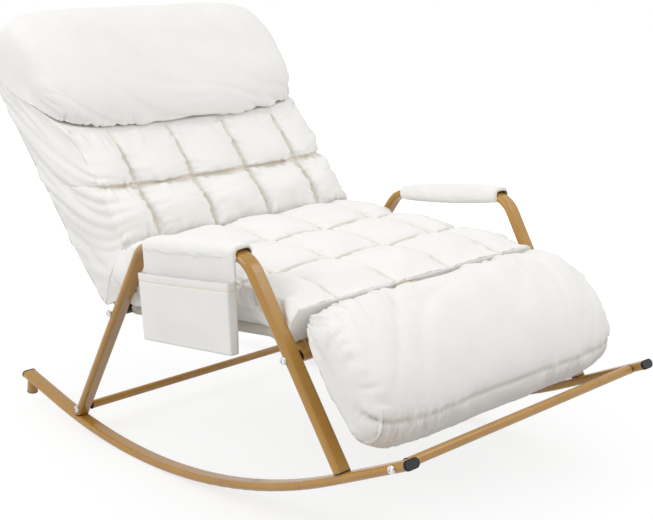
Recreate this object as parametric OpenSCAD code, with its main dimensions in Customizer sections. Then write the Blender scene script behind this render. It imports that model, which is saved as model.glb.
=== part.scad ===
// A lounge rocker: two bent steel side frames stand on two curved runners, a tube
// frame with fabric slings hangs between them, and a quilted mattress lies on it.
// +X is the sitter's front, +Y the sitter's left. The origin is on the floor, midway
// between the two runners, on the line where they touch it.

/* [Rockers] */
// Centre distance between the two runners
gauge = 600; // [540:5:680]
// Radius of the runners, to the middle of the tube
rocker_radius = 1250; // [1100:10:1500]
// Half of the angle over which each runner is curved
rocker_half_angle = 18.8; // [17:0.1:21]
// Straight end of each runner behind the curve
rocker_rear_run = 133; // [125:1:170]
// Straight end of each runner before the curve
rocker_front_run = 174; // [150:1:200]
// Angle by which the chair leans back at rest
lean_back = 6.2; // [3:0.1:9]

/* [Frame tube] */
// Width of the flat-oval tube, across the chair
oval_w = 30; // [28:0.5:34]
// Thickness of the flat-oval tube
oval_t = 15; // [14:0.5:18]
// Wall of all the steel tubes
tube_wall = 1.2; // [1:0.1:1.8]
// Diameter of the two cross tubes between the side frames
cross_d = 16; // [14:0.5:18]

/* [Side frames] */
// Height of the armrest tube, to its middle
arm_height = 420; // [400:1:450]
// Place of the corner where the rear leg turns into the armrest
arm_rear_x = -16; // [-40:1:0]
// Place of the corner where the armrest turns into the front leg
arm_front_x = 267; // [250:1:290]
// Place of the rear leg's foot along the runner
rear_foot_x = -338; // [-360:1:-320]
// Place of the front leg's foot along the runner
front_foot_x = 424; // [415:1:445]
// Bend radius at both ends of the armrest
arm_bend_r = 55; // [45:1:70]
// Angle by which each side frame leans outwards
splay = 2.9; // [1.5:0.1:3.5]
// Distance of the lower rear bolt from the end of the leg
foot_bolt_up = 20; // [16:0.5:26]

/* [Seat and back frame] */
// Diameter of the seat and back tubes
frame_d = 22; // [20:0.5:25]
// Height of the seat tube, to its middle
seat_height = 288; // [275:1:300]
// Thickness of the spacers between the legs and the seat tubes
spacer_t = 14; // [8:0.5:20]
// Place of the corner between seat and back
hip_x = -201; // [-215:1:-190]
// Bend radius between seat and back
hip_bend_r = 70; // [60:1:80]
// Angle of the back from upright, as the frame is drawn
back_angle = 35.5; // [30:0.5:40]
// Height of the back tubes along the slope, from the corner
back_length = 560; // [530:1:570]
// Place of the bend at the front of the seat
knee_x = 255; // [235:1:275]
// Angle by which the front of the seat falls away
knee_angle = 19.5; // [14:0.5:24]
// Length of the seat from the knee bend to the front bar
knee_length = 88; // [80:1:96]
// Bend radius of the knee
knee_bend_r = 60; // [45:1:80]
// Bend radius of the two corners at the top of the back
top_bend_r = 100; // [70:1:120]

/* [Cushions] */
// Thickness of the mattress's side flaps, outside the seat tubes
flap_w = 11.4; // [9:0.1:12.4]
// Thickness of the back pad at its edges, at the hip
back_pad_low_t = 105; // [90:1:120]
// Thickness of the back pad at its edges, below the head roll
back_pad_high_t = 118; // [100:1:135]
// Reach of the head roll above the top bar
head_roll_over = 48; // [40:1:52]
// Slope of the seam below the head roll: how much higher it lies at the rear
roll_slope = 174; // [120:2:180]
// Thickness of the seat pad at its edges, at the hip
seat_pad_rear_t = 100; // [80:1:115]
// Thickness of the seat pad at its edges, at the knee
seat_pad_front_t = 58; // [45:1:75]
// Height by which the quilted squares of the back swell
back_puff = 34; // [10:1:38]
// Height by which the quilted squares of the seat swell
seat_puff = 18; // [10:1:30]
// Number of quilted squares across
quilt_columns = 5; // [4:1:6]
// Length of the head roll up the back
head_roll_l = 242; // [210:1:250]
// Depth of the head roll
head_roll_t = 190; // [170:1:200]
// Length of the leg roll
leg_roll_l = 246; // [235:1:260]
// Angle at which the leg roll hangs down in front
leg_roll_angle = 57; // [52:0.5:62]
// Depth of the leg roll before its top seam
leg_roll_front_t = 84; // [60:1:90]
// Depth of the leg roll behind its top seam
leg_roll_rear_t = 22; // [12:1:29]

/* [Arm covers and pocket] */
// Length of each fabric cover on the armrest
cover_l = 252; // [225:1:256]
// Thickness of the padded armrest covers
cover_t = 2.6; // [1.5:0.1:4]
// Drop of the side pocket below the armrest
pocket_drop = 160; // [140:1:180]
// Depth of the pouch from back to front panel
pouch_depth = 14; // [11:0.5:20]
// Height of the pouch
pouch_h = 118; // [100:1:130]

/* [Hidden] */
// Widths and distances
fit = 0.3; // clearance between pieces that are pushed together
over = 1; // overrun of every cut
half_gauge = gauge / 2;
wide = 4000; // length of a cut right across the chair
foot_block = 110; // size of the block that cuts a leg's end
full_turn = 360;
$fn = 48;
outline_facets = 48; // facets of a tube's outline, also in a wide bend
big_bend = 300; // bends wider than this get more facets
big_facets = 1080;
seam_l = 1;
seam_share = 1.003; // width of the ring where a straight run meets a bend
round_seam_share = 1.012; // the same on the seat frame's round tube

// Rubber and plastic fittings
collar_t = 2;
cap_insert_l = 13;
cap_face_t = 2.4;
cap_dome_t = 1.6;
cap_lip = 0.6;
plug_wall = 2;
plug_insert_l = 18;
plug_face_t = 2;
stub_d = 22;
stub_l = 26;
stub_from_end = 15;
stub_face_t = 1.6;
cross_from_end = 25.6;
spigot_l = 44;
spigot_gap = 0.5;

// Fasteners
bolt_d = 6;
bolt_clear = 0.25;
head_d = 11.5;
head_h = 3.6;
socket_d = 4.6;
socket_depth = 2.2;
socket_sides = 6;
washer_d = 13.5;
washer_t = 1.4;
nut_d = 10.5;
nut_h = 9;
nut_hex_h = 5;
nut_bore = 7;
nut_grip = 6;
nut_dome_d = 9;
joint_bolt_d = 5;
joint_head_d = 9;
joint_head_h = 2.8;
spacer_d = 17;
rear_bolt_ahead = 58;
joiner_l = 90;
joiner_bolt_up = 22;
bar_d = 19;
weld_web = 2;
hip_bar_ahead = 120;
lumbar_bar_up = 250;
shoulder_bar_down = 122;

// Slings
sling_t = 1.5;
pocket_gap = 0.3;
sheet_sink = 0.2;
sling_bolt_gap = 16;
sling_end_gap = 22;

// Cushions: how the squares and rolls are shaped
seam_gap = 0.4;
flap_taper = 2;
flap_min = 1;
hip_round = 9;
front_set_back = 21;
puff_power = 0.55;
valley_share = 0.12;
crown_power = 6;
crown_fall_share = 0.55;
side_round_share = 0.09;
hip_turn_share = 0.16;
flap_end_share = 0.07;
roll_end_power = 12;
roll_tip_shares = [0.999, 0.985];
head_roll_shares = [0.93, 0.86, 0.75, 0.55, 0.25];
leg_roll_shares = [0.96, 0.92, 0.86, 0.75, 0.55, 0.25];
flap_step_share = 0.0002;
clip_spread = 3;
roll_square_power = 0.8;
leg_sag_power = 1.3;
leg_front_power = 0.35;
leg_rear_power = 0.5;
back_rows = 2;
seat_rows = 3;
hood_t = 1.6;
cover_ahead = 6;
hood_line = [[30, 19], [23, -6], [14, -13], [-130, -13]]; // up from the top bar, before it
hood_out = [[1, 0], [0.9, -0.4], [0.5, -0.9], [0, -1]];
steps_per_square = 6;
steps_per_row = 7;
side_steps = 4;
roll_steps = 28;

// Derived places, in the frame's own drawing, before it leans back
roll_r = rocker_radius + oval_t / 2;
sin_a = sin(rocker_half_angle);
cos_a = cos(rocker_half_angle);
splay_z = (foot_point(rear_foot_x)[1] + foot_point(front_foot_x)[1]) / 2;
seat_y = leg_y(seat_height) - oval_w / 2 / cos(splay) - fit - spacer_t - frame_d / 2;
back_dir = [-sin(back_angle), cos(back_angle)];
back_norm = [cos(back_angle), sin(back_angle)];
knee_dir = [cos(knee_angle), -sin(knee_angle)];
knee_norm = [sin(knee_angle), cos(knee_angle)];
hip_turn = 90 - back_angle;
hip_tangent = hip_bend_r * tan(hip_turn / 2);
hip_point = [hip_x, seat_height];
knee_point = [knee_x, seat_height];
rest_off = frame_d / 2 + pocket_gap + sling_t + fit;
flap_y = seat_y + rest_off;
flap_u = flap_y / (flap_y + flap_w);
mat_w = 2 * (flap_y + flap_w);
back_pad_l = back_length + head_roll_over - head_roll_l;
rear_bolt_x = hip_x + rear_bolt_ahead;
hip_bar_x = hip_x + hip_bar_ahead;
arm_y = leg_y(arm_height);
cover_mid_x = (arm_rear_x + arm_front_x) / 2 + cover_ahead;
cover_w = oval_w + 2 * (fit + cover_t);
cover_h = oval_t + 2 * (fit + cover_t);
panel_t = 1.6;
panel_top = 3;
panel_y = arm_y + cover_w / 2;
down = [-sin(lean_back), -cos(lean_back)];

// Height of the runner's middle line above its lowest point, at a place along it
function rocker_z(x) =
    let (edge = rocker_radius * sin_a)
    abs(x) <= edge
        ? roll_r - sqrt(rocker_radius * rocker_radius - x * x)
        : roll_r - rocker_radius * cos_a + (abs(x) - edge) * tan(rocker_half_angle);
// Slope of the runner in degrees at that place
function rocker_slope(x) =
    abs(x) <= rocker_radius * sin_a ? asin(x / rocker_radius) : sign(x) * rocker_half_angle;
// Sideways place of a leg's middle line at a height
function leg_y(z) = half_gauge + (z - splay_z) * tan(splay);
// Point where a leg's middle line meets the top of the runner
function foot_point(x) =
    let (s = rocker_slope(x))
    [x - sin(s) * oval_t / 2, rocker_z(x) + cos(s) * oval_t / 2];
function unit(v) = v / norm(v);
function heading(v) = atan2(v[1], v[0]);
function on_back(s, t) = hip_point + s * back_dir + t * back_norm;
function on_knee(s, t) = knee_point + s * knee_dir + t * knee_norm;

rear_foot = foot_point(rear_foot_x);
front_foot = foot_point(front_foot_x);
rear_corner = [arm_rear_x, arm_height];
front_corner = [arm_front_x, arm_height];
rear_leg_dir = unit(rear_corner - rear_foot);
front_leg_dir = unit(front_corner - front_foot);
rear_bend = heading(rear_leg_dir);
front_bend = 180 - heading(front_leg_dir);
foot_bolt = rear_foot + foot_bolt_up * rear_leg_dir;
rocker_rear = [
    -rocker_radius * sin_a - rocker_rear_run * cos_a,
    roll_r - rocker_radius * cos_a + rocker_rear_run * sin_a
];
rocker_front = [
    rocker_radius * sin_a + rocker_front_run * cos_a,
    roll_r - rocker_radius * cos_a + rocker_front_run * sin_a
];
front_bar = rocker_front - cross_from_end * [cos_a, sin_a];
seat_bar = on_knee(knee_length, 0);

// Outline of a flat-oval bar, wide along y
module oval(w, t) {
    union() {
        square([t, w - t], center = true);
        translate([0, (w - t) / 2]) circle(d = t, $fn = outline_facets);
        translate([0, (t - w) / 2]) circle(d = t, $fn = outline_facets);
    }
}

// Outline of a flat-oval tube
module oval_tube(w, t, wall) {
    difference() {
        oval(w, t);
        oval(w - 2 * wall, t - 2 * wall);
    }
}

// Outline of a round bar and of a round tube
module round_bar(d) { circle(d = d, $fn = outline_facets); }
module round_tube(d, wall) {
    difference() {
        round_bar(d);
        round_bar(d - 2 * wall);
    }
}

// Sweeps an outline along a bent bar's path. Each step is a straight run, a bend
// radius, a turn towards local +x, and a twist of the bending plane after it. The
// first and the last run grow by the extra length, which cuts through a tube's ends.
module bent(path, extra = 0, ring = seam_share) {
    translate([0, 0, -extra]) bent_step(path, 0, extra, ring) children();
}
module bent_step(path, i, extra, ring) {
    if (i < len(path)) {
        ends = (i == 0 ? 1 : 0) + (i == len(path) - 1 ? 1 : 0);
        run = path[i][0] + ends * extra;
        r = path[i][1];
        turn = path[i][2];
        linear_extrude(run) children();
        if (turn != 0)
            translate([0, 0, run]) {
                seam(ring) children();
                bend(r, turn) children();
                translate([sign(turn) * r * (1 - cos(turn)), 0, r * sin(abs(turn))])
                    rotate([0, turn, 0]) {
                        seam(ring) children();
                        rotate([0, 0, path[i][3]]) bent_step(path, i + 1, extra, ring) children();
                    }
            }
    }
}
module bend(r, turn) {
    mirror([turn < 0 ? 1 : 0, 0, 0])
        translate([r, 0, 0])
            rotate([90, 0, 0])
                rotate([0, 0, 180 - abs(turn)])
                    rotate_extrude(angle = abs(turn), $fn = r > big_bend ? big_facets : $fn)
                        translate([r, 0]) mirror([1, 0]) children();
}
// Ring a hair wider than the tube, where a straight run meets a bend
module seam(ring) {
    translate([0, 0, -seam_l / 2]) linear_extrude(seam_l) scale(ring) children();
}

// Places a tube's start at a point of the side view, pointing at an angle above +X
module from_point(p, angle, y = 0) {
    translate([p[0], y, p[1]]) rotate([0, 90 - angle, 0]) children();
}

// Leans the whole drawing back about the runners' centre
module leaned() {
    translate([0, 0, roll_r]) rotate([0, -lean_back, 0]) translate([0, 0, -roll_r]) children();
}

// The sitter's right side, and the left one as its mirror image
module right_side() { leaned() children(); }
module left_side() { leaned() mirror([0, 1, 0]) children(); }
module both_sides() {
    right_side() children();
    left_side() children();
}

// Stands a side frame's plane on the right runner, leaning outwards from its feet
module splayed() {
    translate([0, -half_gauge, splay_z]) rotate([splay, 0, 0]) translate([0, 0, -splay_z]) children();
}

// A cylinder along +Y from one y to another
module cross_rod(p, y0, y1, d) {
    translate([p[0], y0, p[1]]) rotate([-90, 0, 0]) cylinder(d = d, h = y1 - y0);
}

// The runner's solid outside shape
module rocker_path(w, t, extra = 0) {
    from_point(rocker_rear, -rocker_half_angle)
        bent([[rocker_rear_run, rocker_radius, -2 * rocker_half_angle, 0],
              [rocker_front_run, 0, 0, 0]], extra) oval(w, t);
}

// Short oval bar along a leg, welded on the runner, which the leg slips over
module spigot(foot, dir) {
    slack = tube_wall + spigot_gap;
    splayed()
        from_point(foot, heading(dir))
            translate([0, 0, -oval_t / 2])
                linear_extrude(spigot_l + oval_t / 2) oval(oval_w - 2 * slack, oval_t - 2 * slack);
}

module rocker() {
    stub_at = rocker_rear + stub_from_end * [cos_a, -sin_a];
    color([0.74, 0.53, 0.27])
    difference() {
        union() {
            translate([0, -half_gauge, 0]) rocker_path(oval_w, oval_t);
            spigot(rear_foot, rear_leg_dir);
            spigot(front_foot, front_leg_dir);
            from_point(stub_at, -90 - rocker_half_angle, -half_gauge)
                cylinder(d = stub_d, h = oval_t / 2 + stub_l);
        }
        translate([0, -half_gauge, 0])
            rocker_path(oval_w - 2 * tube_wall, oval_t - 2 * tube_wall, over);
        from_point(stub_at, -90 - rocker_half_angle, -half_gauge)
            translate([0, 0, oval_t / 2 + tube_wall])
                cylinder(d = stub_d - 2 * tube_wall, h = stub_l);
        cross_rod(front_bar, -half_gauge - oval_w, -half_gauge + oval_w, bolt_d + 2 * bolt_clear);
        cross_rod(foot_bolt, -half_gauge - oval_w, -half_gauge + oval_w, bolt_d + 2 * bolt_clear);
    }
}

module right_rocker() { right_side() rocker(); }
module left_rocker() { left_side() rocker(); }

// Block that cuts a leg's end parallel to the runner's top, some way above it
module below_foot(x, gap) {
    translate([x, -half_gauge, rocker_z(x)])
        rotate([0, -rocker_slope(x), 0])
            translate([-foot_block / 2, -foot_block / 2, oval_t / 2 + gap - foot_block])
                cube(foot_block);
}

module side_frame_path(w, t, extra = 0) {
    start = oval_t;
    rear_len = norm(rear_corner - rear_foot) - arm_bend_r * tan(rear_bend / 2);
    front_len = norm(front_corner - front_foot) - arm_bend_r * tan(front_bend / 2);
    arm_len = arm_front_x - arm_rear_x - arm_bend_r * (tan(rear_bend / 2) + tan(front_bend / 2));
    from_point(rear_foot - start * rear_leg_dir, rear_bend)
        bent([[rear_len + start, arm_bend_r, rear_bend, 0],
              [arm_len, arm_bend_r, front_bend, 0],
              [front_len + start, 0, 0, 0]], extra) oval(w, t);
}

module side_frame() {
    color([0.76, 0.55, 0.28])
    difference() {
        splayed() side_frame_path(oval_w, oval_t);
        splayed() side_frame_path(oval_w - 2 * tube_wall, oval_t - 2 * tube_wall, over);
        below_foot(rear_foot_x, collar_t + fit);
        below_foot(front_foot_x, collar_t + fit);
        cross_rod(foot_bolt, -half_gauge - oval_w, -half_gauge + oval_w, bolt_d + 2 * bolt_clear);
        for (x = [rear_bolt_x, seat_bar[0]])
            cross_rod([x, x < 0 ? seat_height : seat_bar[1]], -wide / 2, 0,
                      bolt_d + 2 * bolt_clear);
    }
}

module right_side_frame() { right_side() side_frame(); }
module left_side_frame() { left_side() side_frame(); }

// Plastic ring between a leg's cut end and the runner
module leg_collar(x, foot, dir) {
    color([0.07, 0.07, 0.07])
    intersection() {
        difference() {
            leg_block(foot, dir, oval_w, oval_t);
            leg_block(foot, dir, oval_w - 2 * (tube_wall + fit / 2), oval_t - 2 * (tube_wall + fit / 2));
        }
        difference() {
            below_foot(x, collar_t);
            below_foot(x, fit / 2);
        }
    }
}

module leg_block(foot, dir, w, t) {
    splayed()
        from_point(foot, heading(dir))
            translate([0, 0, -oval_w]) linear_extrude(2 * oval_w) oval(w, t);
}

module rear_leg_collars() { both_sides() leg_collar(rear_foot_x, rear_foot, rear_leg_dir); }
module front_leg_collars() { both_sides() leg_collar(front_foot_x, front_foot, front_leg_dir); }

// Cap in the runner's open end: an oval plug, a face and a slightly smaller dome
module rocker_cap(p, angle) {
    inner = tube_wall + fit;
    color([0.06, 0.06, 0.06])
    from_point(p, angle, -half_gauge)
        union() {
            translate([0, 0, -cap_insert_l])
                linear_extrude(cap_insert_l) oval(oval_w - 2 * inner, oval_t - 2 * inner);
            linear_extrude(cap_face_t) oval(oval_w + 2 * cap_lip, oval_t + 2 * cap_lip);
            linear_extrude(cap_face_t + cap_dome_t) oval(oval_w - 2 * cap_lip, oval_t - 2 * cap_lip);
        }
}

module right_rocker_front_cap() { right_side() rocker_cap(rocker_front, rocker_half_angle); }
module left_rocker_front_cap() { left_side() rocker_cap(rocker_front, rocker_half_angle); }
module right_rocker_rear_cap() { right_side() rocker_cap(rocker_rear, 180 - rocker_half_angle); }
module left_rocker_rear_cap() { left_side() rocker_cap(rocker_rear, 180 - rocker_half_angle); }

// Plug in the foot of the short stub that stops the chair tipping over backwards
module stub_plug() {
    stub_at = rocker_rear + stub_from_end * [cos_a, -sin_a];
    insert_d = stub_d - 2 * (tube_wall + fit);
    color([0.06, 0.06, 0.06])
    from_point(stub_at, -90 - rocker_half_angle, -half_gauge)
        translate([0, 0, oval_t / 2 + stub_l]) {
            translate([0, 0, -cap_insert_l]) cylinder(d = insert_d, h = cap_insert_l);
            cylinder(d = stub_d + cap_lip, h = stub_face_t);
        }
}

module right_stub_plug() { right_side() stub_plug(); }
module left_stub_plug() { left_side() stub_plug(); }

// Cross tube between two faces, with room for the plugs' faces at its ends
module cross_tube(p, half_span) {
    reach = half_span - fit - plug_face_t;
    color([0.72, 0.51, 0.25])
    leaned()
        difference() {
            cross_rod(p, -reach, reach, cross_d);
            cross_rod(p, -reach - over, reach + over, cross_d - 2 * tube_wall);
        }
}

module tube_plug(p, half_span, d) {
    reach = half_span - fit;
    insert_d = d - 2 * (tube_wall + fit / 2);
    color([0.06, 0.06, 0.06])
    both_sides()
        difference() {
            union() {
                cross_rod(p, -reach, -reach + plug_face_t, d + cap_lip);
                cross_rod(p, -reach + plug_face_t, -reach + plug_face_t + plug_insert_l, insert_d);
            }
            cross_rod(p, -reach - over, -reach + plug_insert_l, bolt_d + bolt_clear);
        }
}

rear_half_span = leg_y(foot_bolt[1]) - oval_w / 2 / cos(splay);
front_half_span = half_gauge - oval_w / 2;

module front_cross_tube() { cross_tube(front_bar, front_half_span); }
module rear_cross_tube() { cross_tube(foot_bolt, rear_half_span); }
module front_tube_plugs() { tube_plug(front_bar, front_half_span, cross_d); }
module rear_tube_plugs() { tube_plug(foot_bolt, rear_half_span, cross_d); }
module seat_bar_plugs() { tube_plug(seat_bar, seat_bar_half_span, bar_d); }

back_run = back_length - top_bend_r - hip_tangent;
knee_tangent = knee_bend_r * tan(knee_angle / 2);
joint_up = joiner_l / 2;
seat_bar_half_span = leg_y(seat_bar[1]) - oval_w / 2 / cos(splay);

// One side of the seat frame, from the joint above the hip to the front bar
module seat_side(d, extra, front_cut) {
    from_point(on_back(hip_tangent + joint_up, 0), back_angle - 90, -seat_y)
        bent([[joint_up, hip_bend_r, -hip_turn, 0],
              [knee_x - hip_x - hip_tangent - knee_tangent, knee_bend_r, knee_angle, 0],
              [knee_length - knee_tangent - front_cut - extra, 0, 0, 0]],
             extra, round_seam_share) round_bar(d);
}

// The two side tubes, welded to the bar that is bolted between the front legs
module seat_frame() {
    reach = seat_bar_half_span - fit - plug_face_t;
    color([0.72, 0.51, 0.25])
    leaned()
        difference() {
            union() {
                for (s = [0, 1]) mirror([0, s, 0]) seat_side(frame_d, 0, 0);
                cross_rod(seat_bar, -reach, reach, bar_d);
            }
            for (s = [0, 1])
                mirror([0, s, 0]) seat_side(frame_d - 2 * tube_wall, over, bar_d / 2 + weld_web);
            cross_rod(seat_bar, -reach - over, reach + over, bar_d - 2 * tube_wall);
            cross_rod([rear_bolt_x, seat_height], -wide / 2, wide / 2, bolt_d + 2 * bolt_clear);
        }
}

// One side of the back frame, from the joint to the middle of the top bar
module back_half(d, extra = 0) {
    cross_rod(on_back(back_length, 0), -seam_l / 2, seam_l / 2, d * seam_share);
    from_point(on_back(hip_tangent + joint_up + fit, 0), 90 + back_angle, -seat_y)
        rotate([0, 0, 90])
            bent([[back_run - joint_up - fit, top_bend_r, 90, 0],
                  [seat_y - top_bend_r, 0, 0, 0]], extra) round_bar(d);
}

module back_frame() {
    color([0.72, 0.51, 0.25])
    leaned()
        difference() {
            union() {
                back_half(frame_d);
                mirror([0, 1, 0]) back_half(frame_d);
            }
            back_half(frame_d - 2 * tube_wall, over);
            mirror([0, 1, 0]) back_half(frame_d - 2 * tube_wall, over);
            cross_rod(joiner_bolt_at(), -wide / 2, wide / 2, joint_bolt_d + 2 * bolt_clear);
        }
}

function joiner_bolt_at() = on_back(hip_tangent + joint_up + fit + joiner_bolt_up, 0);

// Inner sleeve that joins the seat and back tubes
module frame_joiner() {
    d = frame_d - 2 * (tube_wall + fit / 2);
    color([0.45, 0.45, 0.46])
    difference() {
        from_point(on_back(hip_tangent + joint_up - joiner_l / 2 + over, 0), 90 + back_angle, -seat_y)
            linear_extrude(joiner_l - over) round_tube(d, tube_wall);
        cross_rod(joiner_bolt_at(), -wide / 2, 0, joint_bolt_d + 2 * bolt_clear);
    }
}

module right_frame_joiner() { right_side() frame_joiner(); }
module left_frame_joiner() { left_side() frame_joiner(); }

// Bar whose ends are cut to the round side tubes that it is welded between
module frame_bar(p) {
    color([0.72, 0.51, 0.25])
    leaned()
        difference() {
            cross_rod(p, -seat_y, seat_y, bar_d);
            cross_rod(p, -seat_y - over, seat_y + over, bar_d - 2 * tube_wall);
            children();
        }
}

module hip_cross_tube() {
    frame_bar([hip_bar_x, seat_height])
        for (s = [-1, 1])
            translate([hip_bar_x - frame_d, s * seat_y, seat_height])
                rotate([0, 90, 0]) cylinder(d = frame_d, h = 2 * frame_d);
}

module back_bar(up) {
    frame_bar(on_back(up, 0))
        for (s = [-1, 1])
            from_point(on_back(up - frame_d, 0), 90 + back_angle, s * seat_y)
                cylinder(d = frame_d, h = 2 * frame_d);
}

module lumbar_cross_tube() { back_bar(lumbar_bar_up); }
module shoulder_cross_tube() { back_bar(back_length - shoulder_bar_down); }

// Spacer between a leg's inner side and the seat tube
module seat_spacer(p) {
    inner = seat_y + frame_d / 2;
    difference() {
        cross_rod(p, -inner - spacer_t, -seat_y, spacer_d);
        cross_rod(p, -inner - spacer_t - over, 0, bolt_d + 2 * bolt_clear);
        children();
    }
}

module seat_spacers() {
    color([0.08, 0.08, 0.08])
    both_sides()
        seat_spacer([rear_bolt_x, seat_height])
            from_point([rear_bolt_x - frame_d, seat_height], 0, -seat_y)
                cylinder(d = frame_d + fit, h = 2 * frame_d);
}

// Button-head bolt along +Y: the head's seat is at y, the shank reaches inwards
module button_bolt(p, y, shank, d, cap_d, cap_h) {
    translate([p[0], -y, p[1]])
        rotate([90, 0, 0])
            difference() {
                union() {
                    rotate_extrude()
                        intersection() {
                            translate([0, cap_h - cap_d]) circle(r = cap_d, $fn = 96);
                            square([cap_d / 2, cap_h]);
                        }
                    translate([0, 0, -shank]) cylinder(d = d, h = shank + cap_h / 2);
                }
                translate([0, 0, cap_h - socket_depth])
                    cylinder(d = socket_d * cap_d / head_d, h = socket_depth + over, $fn = socket_sides);
            }
}

function leg_face(z) = leg_y(z) + oval_w / 2 / cos(splay) + fit;

module rear_foot_bolts() {
    color([0.8, 0.8, 0.82])
    both_sides()
        button_bolt(foot_bolt, leg_face(foot_bolt[1]) + washer_t, oval_w + plug_insert_l,
                    bolt_d, head_d, head_h);
}

module front_rocker_bolts() {
    color([0.8, 0.8, 0.82])
    both_sides()
        button_bolt(front_bar, half_gauge + oval_w / 2 + fit + washer_t, oval_w + plug_insert_l,
                    bolt_d, head_d, head_h);
}

function seat_shank(z) = leg_face(z) + washer_t - seat_y + frame_d / 2 + nut_grip;

module seat_rear_bolts() {
    color([0.8, 0.8, 0.82])
    both_sides()
        button_bolt([rear_bolt_x, seat_height], leg_face(seat_height) + washer_t,
                    seat_shank(seat_height), bolt_d, head_d, head_h);
}

module seat_front_bolts() {
    color([0.8, 0.8, 0.82])
    both_sides()
        button_bolt(seat_bar, leg_face(seat_bar[1]) + washer_t, oval_w + plug_insert_l,
                    bolt_d, head_d, head_h);
}

module washer_at(p, y) {
    difference() {
        cross_rod(p, -y - washer_t, -y, washer_d);
        cross_rod(p, -y - washer_t - over, -y + over, bolt_d + bolt_clear);
    }
}

module bolt_washers() {
    color([0.75, 0.75, 0.77])
    both_sides() {
        washer_at(foot_bolt, leg_face(foot_bolt[1]));
        washer_at(front_bar, half_gauge + oval_w / 2 + fit);
        washer_at([rear_bolt_x, seat_height], leg_face(seat_height));
        washer_at(seat_bar, leg_face(seat_bar[1]));
    }
}

// Domed nuts on the inner ends of the rear seat bolts
module seat_nuts() {
    inner = seat_y - frame_d / 2 - fit;
    color([0.8, 0.8, 0.82])
    both_sides()
        translate([rear_bolt_x, -inner, seat_height])
            rotate([-90, 0, 0])
                difference() {
                    union() {
                        cylinder(d = nut_d, h = nut_hex_h, $fn = 6);
                        cylinder(d = nut_dome_d, h = nut_h);
                    }
                    translate([0, 0, -over]) cylinder(d = bolt_d + bolt_clear, h = nut_bore + over);
                }
}

// Their heads are on the inner side, where the mattress doesn't cover the tubes
module joiner_bolts() {
    inner = seat_y - frame_d / 2 - fit / 2;
    color([0.8, 0.8, 0.82])
    both_sides()
        mirror([0, 1, 0])
            button_bolt(joiner_bolt_at(), -inner, frame_d - over, joint_bolt_d,
                        joint_head_d, joint_head_h);
}

// Side view of a strip that follows straight lines between points, some way above them
function strip(points, gap, t) = concat(
    [for (p = points) p[0] + gap * p[1]],
    [for (i = [len(points) - 1:-1:0]) points[i][0] + (gap + t) * points[i][1]]
);

// Fabric pocket sewn round a straight stretch of a side tube
module tube_pocket(p0, p1) {
    d = frame_d + 2 * pocket_gap;
    from_point(p0, heading(p1 - p0), -seat_y)
        linear_extrude(norm(p1 - p0)) round_tube(d + 2 * sling_t, sling_t);
}

module sling_sheet(points) {
    translate([0, seat_y, 0])
        rotate([90, 0, 0])
            linear_extrude(2 * seat_y)
                polygon(strip(points, frame_d / 2 + pocket_gap - sheet_sink, sling_t));
}

module seat_sling() {
    up = [0, 1];
    mid_norm = (up + knee_norm) / (1 + up * knee_norm);
    rear_end = [hip_x + hip_tangent + sling_end_gap, seat_height];
    hem_half = seat_y - frame_d / 2 - sling_end_gap;
    web_half = hem_half - sling_t;
    hem_d = bar_d + 2 * pocket_gap;
    color([0.86, 0.84, 0.79])
    leaned()
        union() {
            sling_sheet([[rear_end, up], [knee_point, mid_norm], [seat_bar, knee_norm]]);
            for (s = [0, 1])
                mirror([0, s, 0]) {
                    tube_pocket([rear_bolt_x + sling_bolt_gap, seat_height],
                                knee_point - [knee_tangent, 0]);
                    tube_pocket(on_knee(knee_tangent, 0), seat_bar - sling_end_gap * knee_dir);
                }
            difference() {
                union() {
                    cross_rod(seat_bar, -hem_half, hem_half, hem_d + 2 * sling_t);
                    from_point(seat_bar, 90 - knee_angle, -web_half)
                        translate([-sling_t / 2, 0, 0])
                            cube([sling_t, 2 * web_half, frame_d / 2 + pocket_gap + sling_t / 2]);
                }
                cross_rod(seat_bar, -hem_half - over, hem_half + over, hem_d);
            }
        }
}

module back_sling() {
    low = on_back(hip_tangent + sling_end_gap, 0);
    high = on_back(back_length - top_bend_r, 0);
    pocket_low = on_back(hip_tangent + joint_up + joiner_bolt_up + sling_bolt_gap, 0);
    color([0.86, 0.84, 0.79])
    leaned()
        union() {
            sling_sheet([[high, back_norm], [low, back_norm]]);
            for (s = [0, 1])
                mirror([0, s, 0]) tube_pocket(pocket_low, high);
        }
}

// Closed solid skinned over rings that all have the same number of points
module skin(rings) {
    n = len(rings[0]);
    m = len(rings);
    polyhedron(
        points = [for (r = rings) for (p = r) p],
        faces = concat(
            [[for (i = [0:n - 1]) i]],
            [for (j = [0:m - 2]) for (i = [0:n - 1]) for (h = [0, 1])
                h == 0 ? [j * n + i, (j + 1) * n + i, j * n + (i + 1) % n]
                       : [j * n + (i + 1) % n, (j + 1) * n + i, (j + 1) * n + (i + 1) % n]],
            [[for (i = [n - 1:-1:0]) (m - 1) * n + i]]
        )
    );
}

// Swell of the quilting: 0 in the sewn valleys, 1 on the squares
function swell(u, cells) = pow(abs(sin(180 * u * cells)), puff_power);
// Shape across the pad: it falls away towards both side walls
function crown(u) = 1 - pow(abs(2 * u - 1), crown_power) * crown_fall_share;
// Half width of the pad at a share of its thickness: the upper half rounds inwards
function side_half(k) = mat_w / 2 * (1 - side_round_share * pow(max(0, 2 * k - 1), 2));
function mix(a, b, v) = a + (b - a) * v;
function pad_point(low, dir, h, y) = [low[0] + dir[0] * h, y, low[1] + dir[1] * h];

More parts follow.
